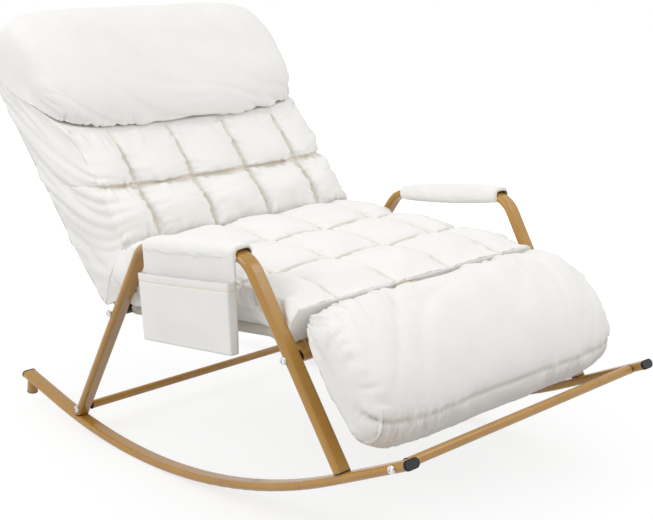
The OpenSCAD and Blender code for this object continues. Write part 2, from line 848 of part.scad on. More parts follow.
// Cross section of a quilted pad at a share v of its length. The low and high points
// give the lower and upper face there, and the flap hangs down outside the side tubes.
function pad_ring(v, low, high, rows, puff, flap) =
    let (
        t = norm(high - low),
        dir = (high - low) / t,
        n = quilt_columns * steps_per_square,
        row = valley_share + (1 - valley_share) * swell(v, rows),
        side = [for (k = [0:side_steps - 1]) k / side_steps],
        outer = side_half(0) - flap_taper
    )
    concat(
        [for (k = side) pad_point(low, dir, t * k, -side_half(k))],
        [for (i = [0:n])
            let (column = valley_share + (1 - valley_share) * swell(i / n, quilt_columns))
            pad_point(low, dir, t + puff * row * column * crown(i / n), side_half(1) * (2 * i / n - 1))],
        [for (i = [side_steps - 1:-1:0]) pad_point(low, dir, t * side[i], side_half(side[i]))],
        [pad_point(low, dir, -flap, outer), pad_point(low, dir, -flap, flap_y),
         pad_point(low, dir, 0, flap_y), pad_point(low, dir, 0, -flap_y),
         pad_point(low, dir, -flap, -flap_y), pad_point(low, dir, -flap, -outer)]
    );

// The point that lies one distance above the seat tube and another before the back tube
function hip_meet(a, b) = hip_point + [(b - a * back_norm[1]) / back_norm[0], a];
hip_low = hip_meet(rest_off, rest_off);
hip_high = hip_meet(rest_off + seat_pad_rear_t, rest_off + back_pad_low_t);
back_pad_top_low = on_back(back_pad_l + roll_slope, rest_off);
back_pad_top_high = on_back(back_pad_l, rest_off + back_pad_high_t);

// The flaps reach round the tubes, and less far where they turn round the hip
full_flap = rest_off + frame_d / 2 + pocket_gap + sling_t;
slope_run = norm([roll_slope, back_pad_high_t]);
function turn_share(v) = pow(max(0, 1 - v / hip_turn_share), 2);
function back_flap(v) = full_flap * mix(1, slope_run / back_pad_high_t, v * v) - hip_round * turn_share(v);
function seat_flap(v) =
    mix(full_flap, flap_min, min(1, v / flap_end_share)) - hip_round * turn_share(v);

module back_pad() {
    steps = back_rows * steps_per_row;
    a = hip_low + seam_gap * back_dir;
    b = hip_high + seam_gap * back_dir;
    color([0.96, 0.95, 0.93])
    leaned()
        skin([for (j = [0:steps])
            pad_ring(j / steps, mix(a, back_pad_top_low, j / steps),
                     mix(b, back_pad_top_high, j / steps),
                     back_rows, back_puff, back_flap(j / steps))]);
}

// The seat pad's lower face bends with the seat frame at the knee
knee_low = knee_point + rest_off * [tan(knee_angle / 2), 1];
seat_front_low = on_knee(knee_length - front_set_back, rest_off);
seat_front_high = seat_front_low + seat_pad_front_t * knee_norm;
seat_steps = seat_rows * steps_per_row;
knee_place = (knee_low[0] - hip_low[0]) / (seat_front_low[0] - hip_low[0]);
knee_share = round(seat_steps * knee_place) / seat_steps;
function seat_low(v) =
    v < knee_share ? mix(hip_low, knee_low, v / knee_share)
                   : mix(knee_low, seat_front_low, (v - knee_share) / (1 - knee_share));

module seat_pad() {
    steps = seat_steps;
    color([0.96, 0.95, 0.93])
    leaned()
        skin([for (j = [steps:-1:0])
            pad_ring(j / steps, seat_low(j / steps) + seam_gap * [1, 0],
                     mix(hip_high, seat_front_high, j / steps) + seam_gap * [1, 0],
                     seat_rows, seat_puff, seat_flap(j / steps))]);
}

// A roll: the same side view at every ring, drawn in towards a middle at both ends
function end_share(u) = pow(1 - pow(abs(u), roll_end_power), 1 / roll_end_power);
function drawn_in(p, middle, u) = middle + (p - middle) * end_share(u);
function both_ends(shares) =
    concat(-shares, [for (i = [len(shares) - 1:-1:0]) shares[i]]);

// The head roll's back rests on the sling, and reaches back over the top bar and
// outside the side tubes
head_us = both_ends(concat(roll_tip_shares, [flap_u + flap_step_share, flap_u - flap_step_share],
                           head_roll_shares));
function rear_clip(p, u) =
    [p[0], abs(u) < flap_u && p[0] < back_length + frame_d ? max(p[1], rest_off) : p[1]];
// Keeps the roll above its sloping seam with the back pad
function seam_place(t) =
    back_pad_l + seam_gap * slope_run / back_pad_high_t
    + max(0, rest_off + back_pad_high_t - t) * roll_slope / back_pad_high_t;
function seam_clip(p) =
    [max(p[0], seam_place(p[1]) + clip_spread * (p[0] - back_pad_l) / head_roll_l), p[1]];

module head_roll() {
    mid = [back_pad_l + seam_gap + head_roll_l / 2, head_roll_t / 2 - full_flap + rest_off];
    outline = [for (i = [0:roll_steps - 1])
        let (a = full_turn * i / roll_steps, c = cos(a), s = sin(a))
        mid + [head_roll_l / 2 * sign(c) * pow(abs(c), roll_square_power),
               head_roll_t / 2 * sign(s) * pow(abs(s), roll_square_power)]];
    color([0.97, 0.96, 0.94])
    leaned()
        skin([for (u = head_us)
            [for (p = outline)
                let (q = seam_clip(rear_clip(drawn_in(p, mid, u), u)), r = on_back(q[0], q[1]))
                [r[0], u * mat_w / 2, r[1]]]]);
}

// Fabric hood, sewn to the head roll, that slips over the top bar of the back
module head_hood() {
    outline = concat(
        [for (p = hood_line) on_back(back_length + p[0], p[1])],
        [for (i = [len(hood_line) - 1:-1:0])
            on_back(back_length + hood_line[i][0] + hood_t * hood_out[i][0],
                    hood_line[i][1] + hood_t * hood_out[i][1])]
    );
    color([0.95, 0.94, 0.91])
    leaned()
        translate([0, flap_y, 0]) rotate([90, 0, 0]) linear_extrude(2 * flap_y) polygon(outline);
}

// The leg roll hangs from its top seam, deep in front and shallow behind
leg_us = both_ends(concat(roll_tip_shares, leg_roll_shares));
leg_dir = [cos(leg_roll_angle), -sin(leg_roll_angle)];
leg_norm = [sin(leg_roll_angle), cos(leg_roll_angle)];
function leg_front(w) = leg_roll_front_t * pow(sin(180 * pow(w, leg_sag_power)), leg_front_power);
function leg_rear(w) = -leg_roll_rear_t * pow(sin(180 * w), leg_rear_power);

module leg_roll() {
    half = roll_steps / 2;
    shares = [for (i = [0:half]) (1 - cos(180 * i / half)) / 2];
    outline = concat([for (i = [0:half - 1]) [leg_roll_l * shares[i], leg_front(shares[i])]],
                     [for (i = [half:-1:1]) [leg_roll_l * shares[i], leg_rear(shares[i])]]);
    middle = [leg_roll_l / 2, 0];
    top = seat_front_high + seam_gap * knee_dir;
    color([0.97, 0.96, 0.94])
    leaned()
        skin([for (u = leg_us)
            [for (i = [len(outline) - 1:-1:0])
                let (q = drawn_in(outline[i], middle, u), r = top + q[0] * leg_dir + q[1] * leg_norm)
                [r[0], u * mat_w / 2, r[1]]]]);
}

// Padded fabric tube on the straight part of the armrest
module arm_cover() {
    splayed()
        from_point([cover_mid_x - cover_l / 2, arm_height], 0)
            linear_extrude(cover_l) oval_tube(cover_w, cover_h, cover_t);
}

// Flat panel in the side view, hung plumb from the armrest
module hung_panel(top, bottom, x0, x1, y0, y1) {
    along = [1, 0];
    origin = [cover_mid_x, arm_height];
    outline = [
        origin + x0 * along + top * down, origin + x1 * along + top * down,
        origin + x1 * along + bottom * down, origin + x0 * along + bottom * down
    ];
    translate([0, -y0, 0]) rotate([90, 0, 0]) linear_extrude(y1 - y0) polygon(outline);
}

module right_arm_cover() {
    color([0.94, 0.93, 0.9])
    right_side()
        union() {
            arm_cover();
            hung_panel(panel_top, pocket_drop, -cover_l / 2, cover_l / 2,
                       panel_y - panel_t, panel_y);
        }
}

module left_arm_cover() {
    color([0.94, 0.93, 0.9])
    left_side() arm_cover();
}

// Pouch on the hanging panel: front, two sides and a bottom, open at the top
module side_pocket() {
    mouth = pocket_drop - pouch_h;
    y0 = panel_y + fit / 2;
    color([0.95, 0.94, 0.91])
    right_side()
        difference() {
            hung_panel(mouth, pocket_drop, -cover_l / 2, cover_l / 2, y0, y0 + pouch_depth);
            hung_panel(mouth - over, pocket_drop - panel_t, -cover_l / 2 + panel_t,
                       cover_l / 2 - panel_t, y0 - over, y0 + pouch_depth - panel_t);
        }
}

right_rocker();
left_rocker();
right_side_frame();
left_side_frame();
front_cross_tube();
rear_cross_tube();
front_tube_plugs();
rear_tube_plugs();
seat_bar_plugs();
right_rocker_front_cap();
left_rocker_front_cap();
right_rocker_rear_cap();
left_rocker_rear_cap();
right_stub_plug();
left_stub_plug();
rear_leg_collars();
front_leg_collars();
seat_frame();
back_frame();
right_frame_joiner();
left_frame_joiner();
hip_cross_tube();
lumbar_cross_tube();
shoulder_cross_tube();
seat_spacers();
rear_foot_bolts();
front_rocker_bolts();
seat_rear_bolts();
seat_front_bolts();
bolt_washers();
seat_nuts();
joiner_bolts();
seat_sling();
back_sling();
head_roll();
head_hood();
back_pad();
seat_pad();
leg_roll();
right_arm_cover();
left_arm_cover();
side_pocket();
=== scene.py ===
"""Dresses the lounge rocker: painted tubes, fittings, slings and the quilted mattress."""
import math

import bmesh
import bpy
from bpy.props import FloatProperty, FloatVectorProperty, IntProperty, PointerProperty
from mathutils import Matrix, Vector, noise


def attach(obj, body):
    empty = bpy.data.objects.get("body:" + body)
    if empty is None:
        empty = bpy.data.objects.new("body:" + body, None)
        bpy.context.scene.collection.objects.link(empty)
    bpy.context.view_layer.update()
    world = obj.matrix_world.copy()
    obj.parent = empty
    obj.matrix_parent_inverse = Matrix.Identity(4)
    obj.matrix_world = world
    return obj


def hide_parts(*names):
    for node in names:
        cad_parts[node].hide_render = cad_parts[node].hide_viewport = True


bl_info = {
    "name": "Lounge Rocker Dresser",
    "version": (1, 0, 0),
    "blender": (4, 5, 0),
    "location": "View3D > Sidebar > Rocker",
    "description": "Makes the upholstery, finishes and studio of a lounge rocker",
    "category": "Object",
}

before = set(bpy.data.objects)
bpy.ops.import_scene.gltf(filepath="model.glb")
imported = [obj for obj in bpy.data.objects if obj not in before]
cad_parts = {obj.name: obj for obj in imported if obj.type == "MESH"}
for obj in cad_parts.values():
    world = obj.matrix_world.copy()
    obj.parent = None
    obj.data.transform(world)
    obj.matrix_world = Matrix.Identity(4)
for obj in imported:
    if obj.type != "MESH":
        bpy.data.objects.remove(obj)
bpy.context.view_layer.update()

# A cell this near a face of its unit box lies on it, and a seam this far away isn't there
NEAR = 0.0001
NO_SEAM = 1.0
# Gaps between sections that are sewn together, and under a cloth that lies on another
SEWN_GAP = 0.0004
CLOTH_GAP = 0.0002
# How the head roll's front seam rises towards its ends, and how a sleeve swells along the arm
TUCK_POWER = 3
SLEEVE_POWER = 0.3
# The finer of the two waves that folds are made of, and their sharp valleys
FINE_ACROSS = 2.3
FINE_ALONG = 1.7
FINE_SEED = 9.1
FINE_SHARE = 0.4
VALLEY_SHARE = 0.9
VALLEY_WIDTH = 0.13
# How stiff the cloth is when a cushion is blown up
CLOTH_SETTINGS = {"quality": 5, "mass": 0.3, "tension_stiffness": 12,
                  "compression_stiffness": 12, "shear_stiffness": 4, "bending_stiffness": 0.3}


# Sizes and colours that a user would change

def length(name, description, default):
    return FloatProperty(name=name, description=description, default=default,
                         unit="LENGTH", subtype="DISTANCE")


def angle(name, description, default):
    return FloatProperty(name=name, description=description, default=math.radians(default),
                         unit="ROTATION", subtype="ANGLE")


def point(name, description, default):
    return FloatVectorProperty(name=name, description=description, default=default,
                               size=3, unit="LENGTH", subtype="TRANSLATION")


def colour(name, description, default):
    return FloatVectorProperty(name=name, description=description, default=default,
                               size=3, min=0, max=1, subtype="COLOR")


class RockerLineSizes(bpy.types.PropertyGroup):
    """The lines of the frame that the upholstery lies on"""
    roll_radius: length("Runner radius", "Radius of the runners' lower face", 1.2575)
    lean: angle("Lean", "Angle by which the chair leans back at rest", 6.2)
    splay: angle("Splay", "Angle by which each side frame leans outwards", 2.9)
    splay_height: length("Splay height", "Height about which the side frames lean", 0.07445)
    half_gauge: length("Half gauge", "Half of the distance between the runners", 0.3)
    arm_height: length("Arm height", "Height of the armrest tube", 0.42)
    arm_middle: length("Arm middle", "Middle of the armrest cover along the arm", 0.1315)
    arm_tube_width: length("Arm tube width", "Width of the flat-oval tube", 0.03)
    arm_tube_thickness: length("Arm tube thickness", "Thickness of the flat-oval tube", 0.015)
    hip_x: length("Hip place", "Place of the corner between seat and back", -0.201)
    seat_height: length("Seat height", "Height of the seat tube", 0.288)
    hip_bend: length("Hip bend", "Bend radius between seat and back", 0.07)
    back_angle: angle("Back angle", "Angle of the back from upright", 35.5)
    back_length: length("Back length", "Length of the back tubes", 0.56)
    top_bend: length("Top bend", "Bend radius at the top of the back", 0.1)
    knee_x: length("Knee place", "Place of the bend at the front of the seat", 0.255)
    knee_bend: length("Knee bend", "Bend radius of the knee", 0.06)
    knee_angle: angle("Knee angle", "Angle by which the seat's front falls away", 19.5)
    knee_length: length("Knee length", "Length from the knee to the front bar", 0.088)
    tube: length("Seat tube", "Diameter of the seat and back tubes", 0.022)
    tube_y: length("Seat tube place", "Sideways place of the seat tubes", 0.27051)
    bar: length("Front bar", "Diameter of the seat's front bar", 0.019)
    rest_off: length("Pad rest", "Height of the pads' lower face above the tubes", 0.0131)


class MattressSizes(bpy.types.PropertyGroup):
    """The quilted mattress"""
    width: length("Width", "Width of the mattress", 0.594)
    columns: IntProperty(name="Columns", description="Quilted squares across",
                         default=5, min=3, max=7)
    back_rows: IntProperty(name="Back rows", description="Rows of squares on the back",
                           default=2, min=1, max=4)
    seat_rows: IntProperty(name="Seat rows", description="Rows of squares on the seat",
                           default=3, min=1, max=5)
    back_low: length("Back pad at the hip", "Thickness there", 0.105)
    back_high: length("Back pad at the top", "Thickness there", 0.118)
    seat_rear: length("Seat pad at the hip", "Thickness there", 0.1)
    seat_front: length("Seat pad at the knee", "Thickness there", 0.058)
    front_set_back: length("Seat pad set back", "From the front bar", 0.021)
    back_puff: length("Back puff", "Swell of the squares on the back", 0.04)
    seat_puff: length("Seat puff", "Swell of the squares on the seat", 0.031)
    tuck: length("Head roll tuck", "From the hip up to the roll's front seam, midway", 0.299)
    tuck_curve: length("Tuck curve", "Rise of that seam towards its ends", 0.015)
    overhang: length("Overhang", "How far the roll bulges down over that seam", 0.009)
    tuck_rear: length("Tuck at the rear", "From the hip up to the seam's rear edge", 0.54)
    head_end: length("Head roll end", "From the hip up to the top of the roll", 0.611)
    head_depth: length("Head roll depth", "From back to front", 0.192)
    leg_length: length("Leg roll length", "Down the front", 0.259)
    leg_angle: angle("Leg roll angle", "Angle at which it hangs", 57)
    leg_front: length("Leg roll front", "Depth before its top seam", 0.085)
    roll_over: length("Roll overhang", "How far the rolls pass the pads on each side", 0.01)
    leg_rear: length("Leg roll rear", "Depth behind its top seam", 0.022)
    cell: length("Mesh cell", "Size of the cloth's mesh before it is refined", 0.0074)
    seam_depth: length("Seam depth", "Depth of the valley at a sewn seam", 0.0036)
    crease: length("Crease depth", "Depth of the deeper creases", 0.0055)
    pucker: length("Pucker depth", "Depth of the gathers along a seam", 0.005)


class CoverSizes(bpy.types.PropertyGroup):
    """Arm covers, pocket and slings"""
    cover_length: length("Cover length", "Length of an armrest cover", 0.252)
    cover_wall: length("Cover wall", "Thickness of the padded cover", 0.0026)
    cover_swell: length("Cover swell", "How far the padded cover swells", 0.009)
    cover_lift: length("Cover lift", "How far the padding stands higher above than below", 0.0015)
    pocket_set_in: length("Pocket set-in", "From the rear edge of the cover to the pouch", 0.009)
    pocket_drop: length("Pocket drop", "From the armrest down to the pocket's hem", 0.16)
    pocket_height: length("Pocket height", "Height of the pouch", 0.118)
    pocket_depth: length("Pocket depth", "Depth of the pouch", 0.014)
    hem: length("Hem", "Width of the pocket's hem", 0.013)
    cloth: length("Cloth", "Thickness of the sling cloth", 0.0011)


class RockerFinishes(bpy.types.PropertyGroup):
    """Colours of the finishes"""
    paint: colour("Paint", "Golden paint of the tubes", (0.445, 0.228, 0.038))
    steel: colour("Steel", "Bare steel inside the joints", (0.42, 0.42, 0.43))
    bright: colour("Bright metal", "Plated bolts, washers and nuts", (0.74, 0.74, 0.75))
    plastic: colour("Plastic", "End caps, plugs and collars", (0.012, 0.012, 0.013))
    cushion: colour("Cushion cloth", "Off-white cloth of the mattress", (0.89, 0.88, 0.853))
    # Seam colour: the golden thread of the seams, and also painted shade in the seams' valleys, tucks
    # and creases
    seam: colour("Seam shade", "Warm shade in the folds of the seams", (0.7, 0.6, 0.38))
    sling: colour("Sling cloth", "Sling and lining", (0.72, 0.68, 0.6))


class StudioSizes(bpy.types.PropertyGroup):
    """Camera and lamps"""
    camera: point("Camera", "Place of the camera", (1.7673, -1.4567, 0.8961))
    target: point("Target", "Point that it looks at", (0.1935, 0, 0.3573))
    tilt: angle("Camera roll", "Roll of the camera to the side", 1.52)
    lens: FloatProperty(name="Lens", description="Focal length in millimetres",
                        default=66.16, min=10, max=200)
    floor_size: length("Floor", "Size of the floor", 14)
    lit: point("Lit point", "Point that the lamps face", (0.1, 0, 0.4))
    key_place: point("Key place", "Place of the key lamp", (-0.5, -2.7, 2.3))
    key_size: length("Key size", "Diameter of the key lamp", 1.8)
    key: FloatProperty(name="Key lamp", description="Power of the key lamp", default=27,
                       unit="POWER")
    fill_place: point("Fill place", "Place of the fill lamp", (1.6, 1.5, 2.3))
    fill_size: length("Fill size", "Diameter of the fill lamp", 1.3)
    fill: FloatProperty(name="Fill lamp", description="Power of the fill lamp", default=11,
                        unit="POWER")
    sky: FloatProperty(name="Sky", description="Strength of the even light", default=0.85)


# The chair's lines in the side view, before it leans back

def turned(a):
    return Vector((math.cos(a), math.sin(a)))


def mix(a, b, t):
    return a + (b - a) * t


class ChairLines:
    """Places on the back and the seat, in the side view"""
    # How far the flaps hang past the middle of the tubes
    flap_past = 0.0018

    def __init__(self, scene):
        s = scene.rocker_lines
        self.sizes, self.mattress = s, scene.rocker_mattress
        self.back_dir = Vector((-math.sin(s.back_angle), math.cos(s.back_angle)))
        self.back_norm = Vector((math.cos(s.back_angle), math.sin(s.back_angle)))
        self.knee_dir = Vector((math.cos(s.knee_angle), -math.sin(s.knee_angle)))
        self.knee_norm = Vector((math.sin(s.knee_angle), math.cos(s.knee_angle)))
        self.hip = Vector((s.hip_x, s.seat_height))
        self.knee = Vector((s.knee_x, s.seat_height))
        self.flap_y = s.tube_y + s.rest_off
        self.full_flap = s.rest_off + s.tube / 2 + self.flap_past
        self.hip_tangent = s.hip_bend * math.tan((math.pi / 2 - s.back_angle) / 2)
        self.knee_low = self.knee + s.rest_off * Vector((math.tan(s.knee_angle / 2), 1))
        self.hip_low = self.hip_meet(s.rest_off, s.rest_off)
        self.hip_high = self.hip_meet(s.rest_off + self.mattress.seat_rear,
                                      s.rest_off + self.mattress.back_low)
        self.back_top = self.on_back(self.mattress.tuck_rear, s.rest_off)
        self.seat_front = self.on_knee(s.knee_length - self.mattress.front_set_back, s.rest_off)
        self.seat_front_high = self.seat_front + self.mattress.seat_front * self.knee_norm

    def on_back(self, along, out):
        return self.hip + along * self.back_dir + out * self.back_norm

    def on_knee(self, along, out):
        return self.knee + along * self.knee_dir + out * self.knee_norm

    def hip_meet(self, above, before):
        return self.hip + Vector(((before - above * self.back_norm.y) / self.back_norm.x, above))

    def place(self, p, y):
        """A point of the side view, at a place across the chair, as the chair leans at rest"""
        c, s = math.cos(self.sizes.lean), math.sin(self.sizes.lean)
        up = p.y - self.sizes.roll_radius
        return Vector((p.x * c - up * s, y, p.x * s + up * c + self.sizes.roll_radius))

    def tuck(self, share, out):
        """Place along the back of the seam before the head roll, at a share of the half width"""
        m = self.mattress
        start = m.tuck + m.tuck_curve * abs(share) ** TUCK_POWER
        low = max(0.0, (self.sizes.rest_off + m.back_high - out) / m.back_high)
        return mix(start, m.tuck_rear, low)

    def seat_low(self, v):
        bend = (self.knee_low.x - self.hip_low.x) / (self.seat_front.x - self.hip_low.x)
        if v < bend:
            return mix(self.hip_low, self.knee_low, v / bend)
        return mix(self.knee_low, self.seat_front, (v - bend) / (1 - bend))


# Meshes

def on_side(u):
    """True on the two end faces of a unit box, where u is 0 or 1"""
    return u < NEAR or u > 1 - NEAR


def on_top(w):
    return w > 1 - NEAR


def new_piece(name, points, faces, material, cells=None):
    """A smooth-shaded object from points and faces, riding on the chair"""
    mesh = bpy.data.meshes.new(name)
    mesh.from_pydata(points, [], faces)
    if cells:
        held = mesh.attributes.new("cell", "FLOAT_VECTOR", "POINT")
        held.data.foreach_set("vector", [x for cell in cells for x in cell])
    sheet = bmesh.new()
    sheet.from_mesh(mesh)
    bmesh.ops.recalc_face_normals(sheet, faces=sheet.faces)
    sheet.to_mesh(mesh)
    sheet.free()
    mesh.polygons.foreach_set("use_smooth", [True] * len(mesh.polygons))
    mesh.materials.append(material)
    piece = bpy.data.objects.new(name, mesh)
    bpy.context.scene.collection.objects.link(piece)
    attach(piece, "root")
    return piece


def drawn_together(f, parts, pull=0.72):
    """Moves the grid lines between equal parts closer to the seams that part them"""
    place = f * parts
    return (place - pull * math.sin(2 * math.pi * place) / (2 * math.pi)) / parts


def box_skin(counts, shape, spread=lambda *cell: cell):
    """Points, faces and cells of a closed quad skin; shape places each (u, v, w) of a unit box"""
    found, points, cells, faces = {}, [], [], []

    def corner(*grid):
        if grid not in found:
            found[grid] = len(points)
            cell = spread(*(g / n for g, n in zip(grid, counts)))
            cells.append(cell)
            points.append(shape(*cell))
        return found[grid]

    for axis in range(3):
        a, b = [k for k in range(3) if k != axis]
        for end in (0, counts[axis]):
            for i in range(counts[a]):
                for j in range(counts[b]):
                    ring = []
                    for step in ((0, 0), (1, 0), (1, 1), (0, 1)):
                        grid = [0, 0, 0]
                        grid[axis], grid[a], grid[b] = end, i + step[0], j + step[1]
                        ring.append(corner(*grid))
                    faces.append(ring)
    return points, faces, cells


def refined(piece):
    """Halves the cells of the piece's mesh, with its marks carried over"""
    step = piece.modifiers.new("Refine", "SUBSURF")
    step.levels = step.render_levels = 1
    step.boundary_smooth = "PRESERVE_CORNERS"
    applied(piece)


def applied(piece):
    """Applies every modifier of the piece"""
    bpy.context.view_layer.update()
    made = bpy.data.meshes.new_from_object(
        piece.evaluated_get(bpy.context.evaluated_depsgraph_get()))
    piece.modifiers.clear()
    old, piece.data = piece.data, made
    bpy.data.meshes.remove(old)


def cells_of(mesh):
    return [Vector(d.vector) for d in mesh.attributes["cell"].data]


def set_marks(mesh, name, values):
    """A mask that changes over the surface, which the materials read"""
    held = mesh.attributes.get(name) or mesh.attributes.new(name, "FLOAT", "POINT")
    held.data.foreach_set("value", values)


def plump(piece, loose, pressure, most, frames=16):
    """Blows the cushion up as cloth, held where loose is 0, and moves no point further than most"""
    rest = [v.co.copy() for v in piece.data.vertices]
    held = piece.vertex_groups.new(name="held")
    for i, free in enumerate(loose):
        held.add([i], 1 - free, "REPLACE")
    cloth = piece.modifiers.new("Plump", "CLOTH")
    for name, value in CLOTH_SETTINGS.items():
        setattr(cloth.settings, name, value)
    cloth.settings.vertex_group_mass = "held"
    cloth.settings.use_pressure = True
    cloth.settings.uniform_pressure_force = pressure
    cloth.settings.effector_weights.gravity = 0
    cloth.collision_settings.use_collision = False
    cloth.point_cache.frame_start = 1
    cloth.point_cache.frame_end = frames
    scene = bpy.context.scene
    for number in range(1, frames + 1):
        scene.frame_set(number)
    blown = piece.evaluated_get(bpy.context.evaluated_depsgraph_get()).data
    moved = [v.co.copy() for v in blown.vertices]
    piece.modifiers.clear()
    piece.vertex_groups.clear()
    scene.frame_set(1)
    for vertex, start, end in zip(piece.data.vertices, rest, moved):
        step = end - start
        if step.length > most:
            step = step.normalized() * most
        vertex.co = start + step
    piece.data.update()


def carve(piece, depth):
    """Moves each point along its normal by what depth says for its cell and place"""
    mesh = piece.data
    normals = [v.normal.copy() for v in mesh.vertices]
    for vertex, normal, cell in zip(mesh.vertices, normals, cells_of(mesh)):
        vertex.co += normal * depth(cell, vertex.co)
    mesh.update()


def folds(across, along, seed):
    """A run of soft waves with sharp valleys, from -1 to 1; it changes fastest along across"""
    wave = noise.noise(Vector((across, along, seed)))
    fine = noise.noise(Vector((across * FINE_ACROSS, along * FINE_ALONG, seed + FINE_SEED)))
    return wave + FINE_SHARE * fine - VALLEY_SHARE * math.exp(-(wave / VALLEY_WIDTH) ** 2)


def pillow(f, power):
    """Swell over one cell: 0 in the seams, 1 in the middle"""
    return max(0.0, math.sin(math.pi * min(1.0, max(0.0, f)))) ** power


def wobble(p, size, seed):
    """Soft unevenness of a surface, at a point of it"""
    return noise.noise(Vector((p.x / size, p.y / size, p.z / size + seed)))


def soft_noise(u, v, waves):
    """Soft unevenness of a cloth; waves gives how many run each way, and a seed"""
    across, along, seed = waves
    return noise.noise(Vector((u * across, v * along, seed)))


def mark_seam(piece, share, width, off):
    """Marks a seam where off is 0; it says how far a cell lies off the seam"""
    set_marks(piece.data, "seam", [share * math.exp(-(off(c) / width) ** 2)
                                   for c in cells_of(piece.data)])


def thicken(piece, thickness, offset):
    thick = piece.modifiers.new("Thickness", "SOLIDIFY")
    thick.thickness, thick.offset = thickness, offset
    applied(piece)


# The quilted pads and the rolls

class Gathers:
    """Folds that run off a seam and fade away from it"""

    def __init__(self, share, reach, pitch, length, seed=0, slant=math.inf, twist=math.inf):
        self.share, self.reach, self.pitch, self.length = share, reach, pitch, length
        self.seed, self.slant, self.twist = seed, slant, twist

    def size(self, along, off, seed=0, reach=None):
        """Height as a share, at a place along the seam and a distance off it"""
        fade = math.exp(-abs(off) / (reach or self.reach))
        return self.share * fade * folds(along / self.pitch + off / self.slant,
                                         off / self.length + along / self.twist, self.seed + seed)


class StuffedPiece:
    """A padded piece of the mattress, skinned on a unit box and blown up as cloth"""

    def spread(self, u, v, w):
        return u, v, w

    def loose(self, cell):
        """1 where the cloth may swell, 0 where it is held"""
        return 1.0

    def seam_line_and_shade(self, cell):
        """Share of the seam colour: the thread line and the painted shade of the seams"""
        return 0.0

    def make(self, name, node, fill):
        points, faces, cells = box_skin(self.counts(self.lines.mattress.cell), self.shape, self.spread)
        piece = new_piece(name, points, faces, finish("cushion_cloth"), cells)
        plump(piece, [self.loose(c) for c in cells_of(piece.data)], self.pressure, self.most)
        refined(piece)
        carve(piece, self.depth)
        # Writes the seam mask: thread lines and painted shade along the seams
        set_marks(piece.data, "seam", [self.seam_line_and_shade(c) for c in cells_of(piece.data)])
        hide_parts(node)


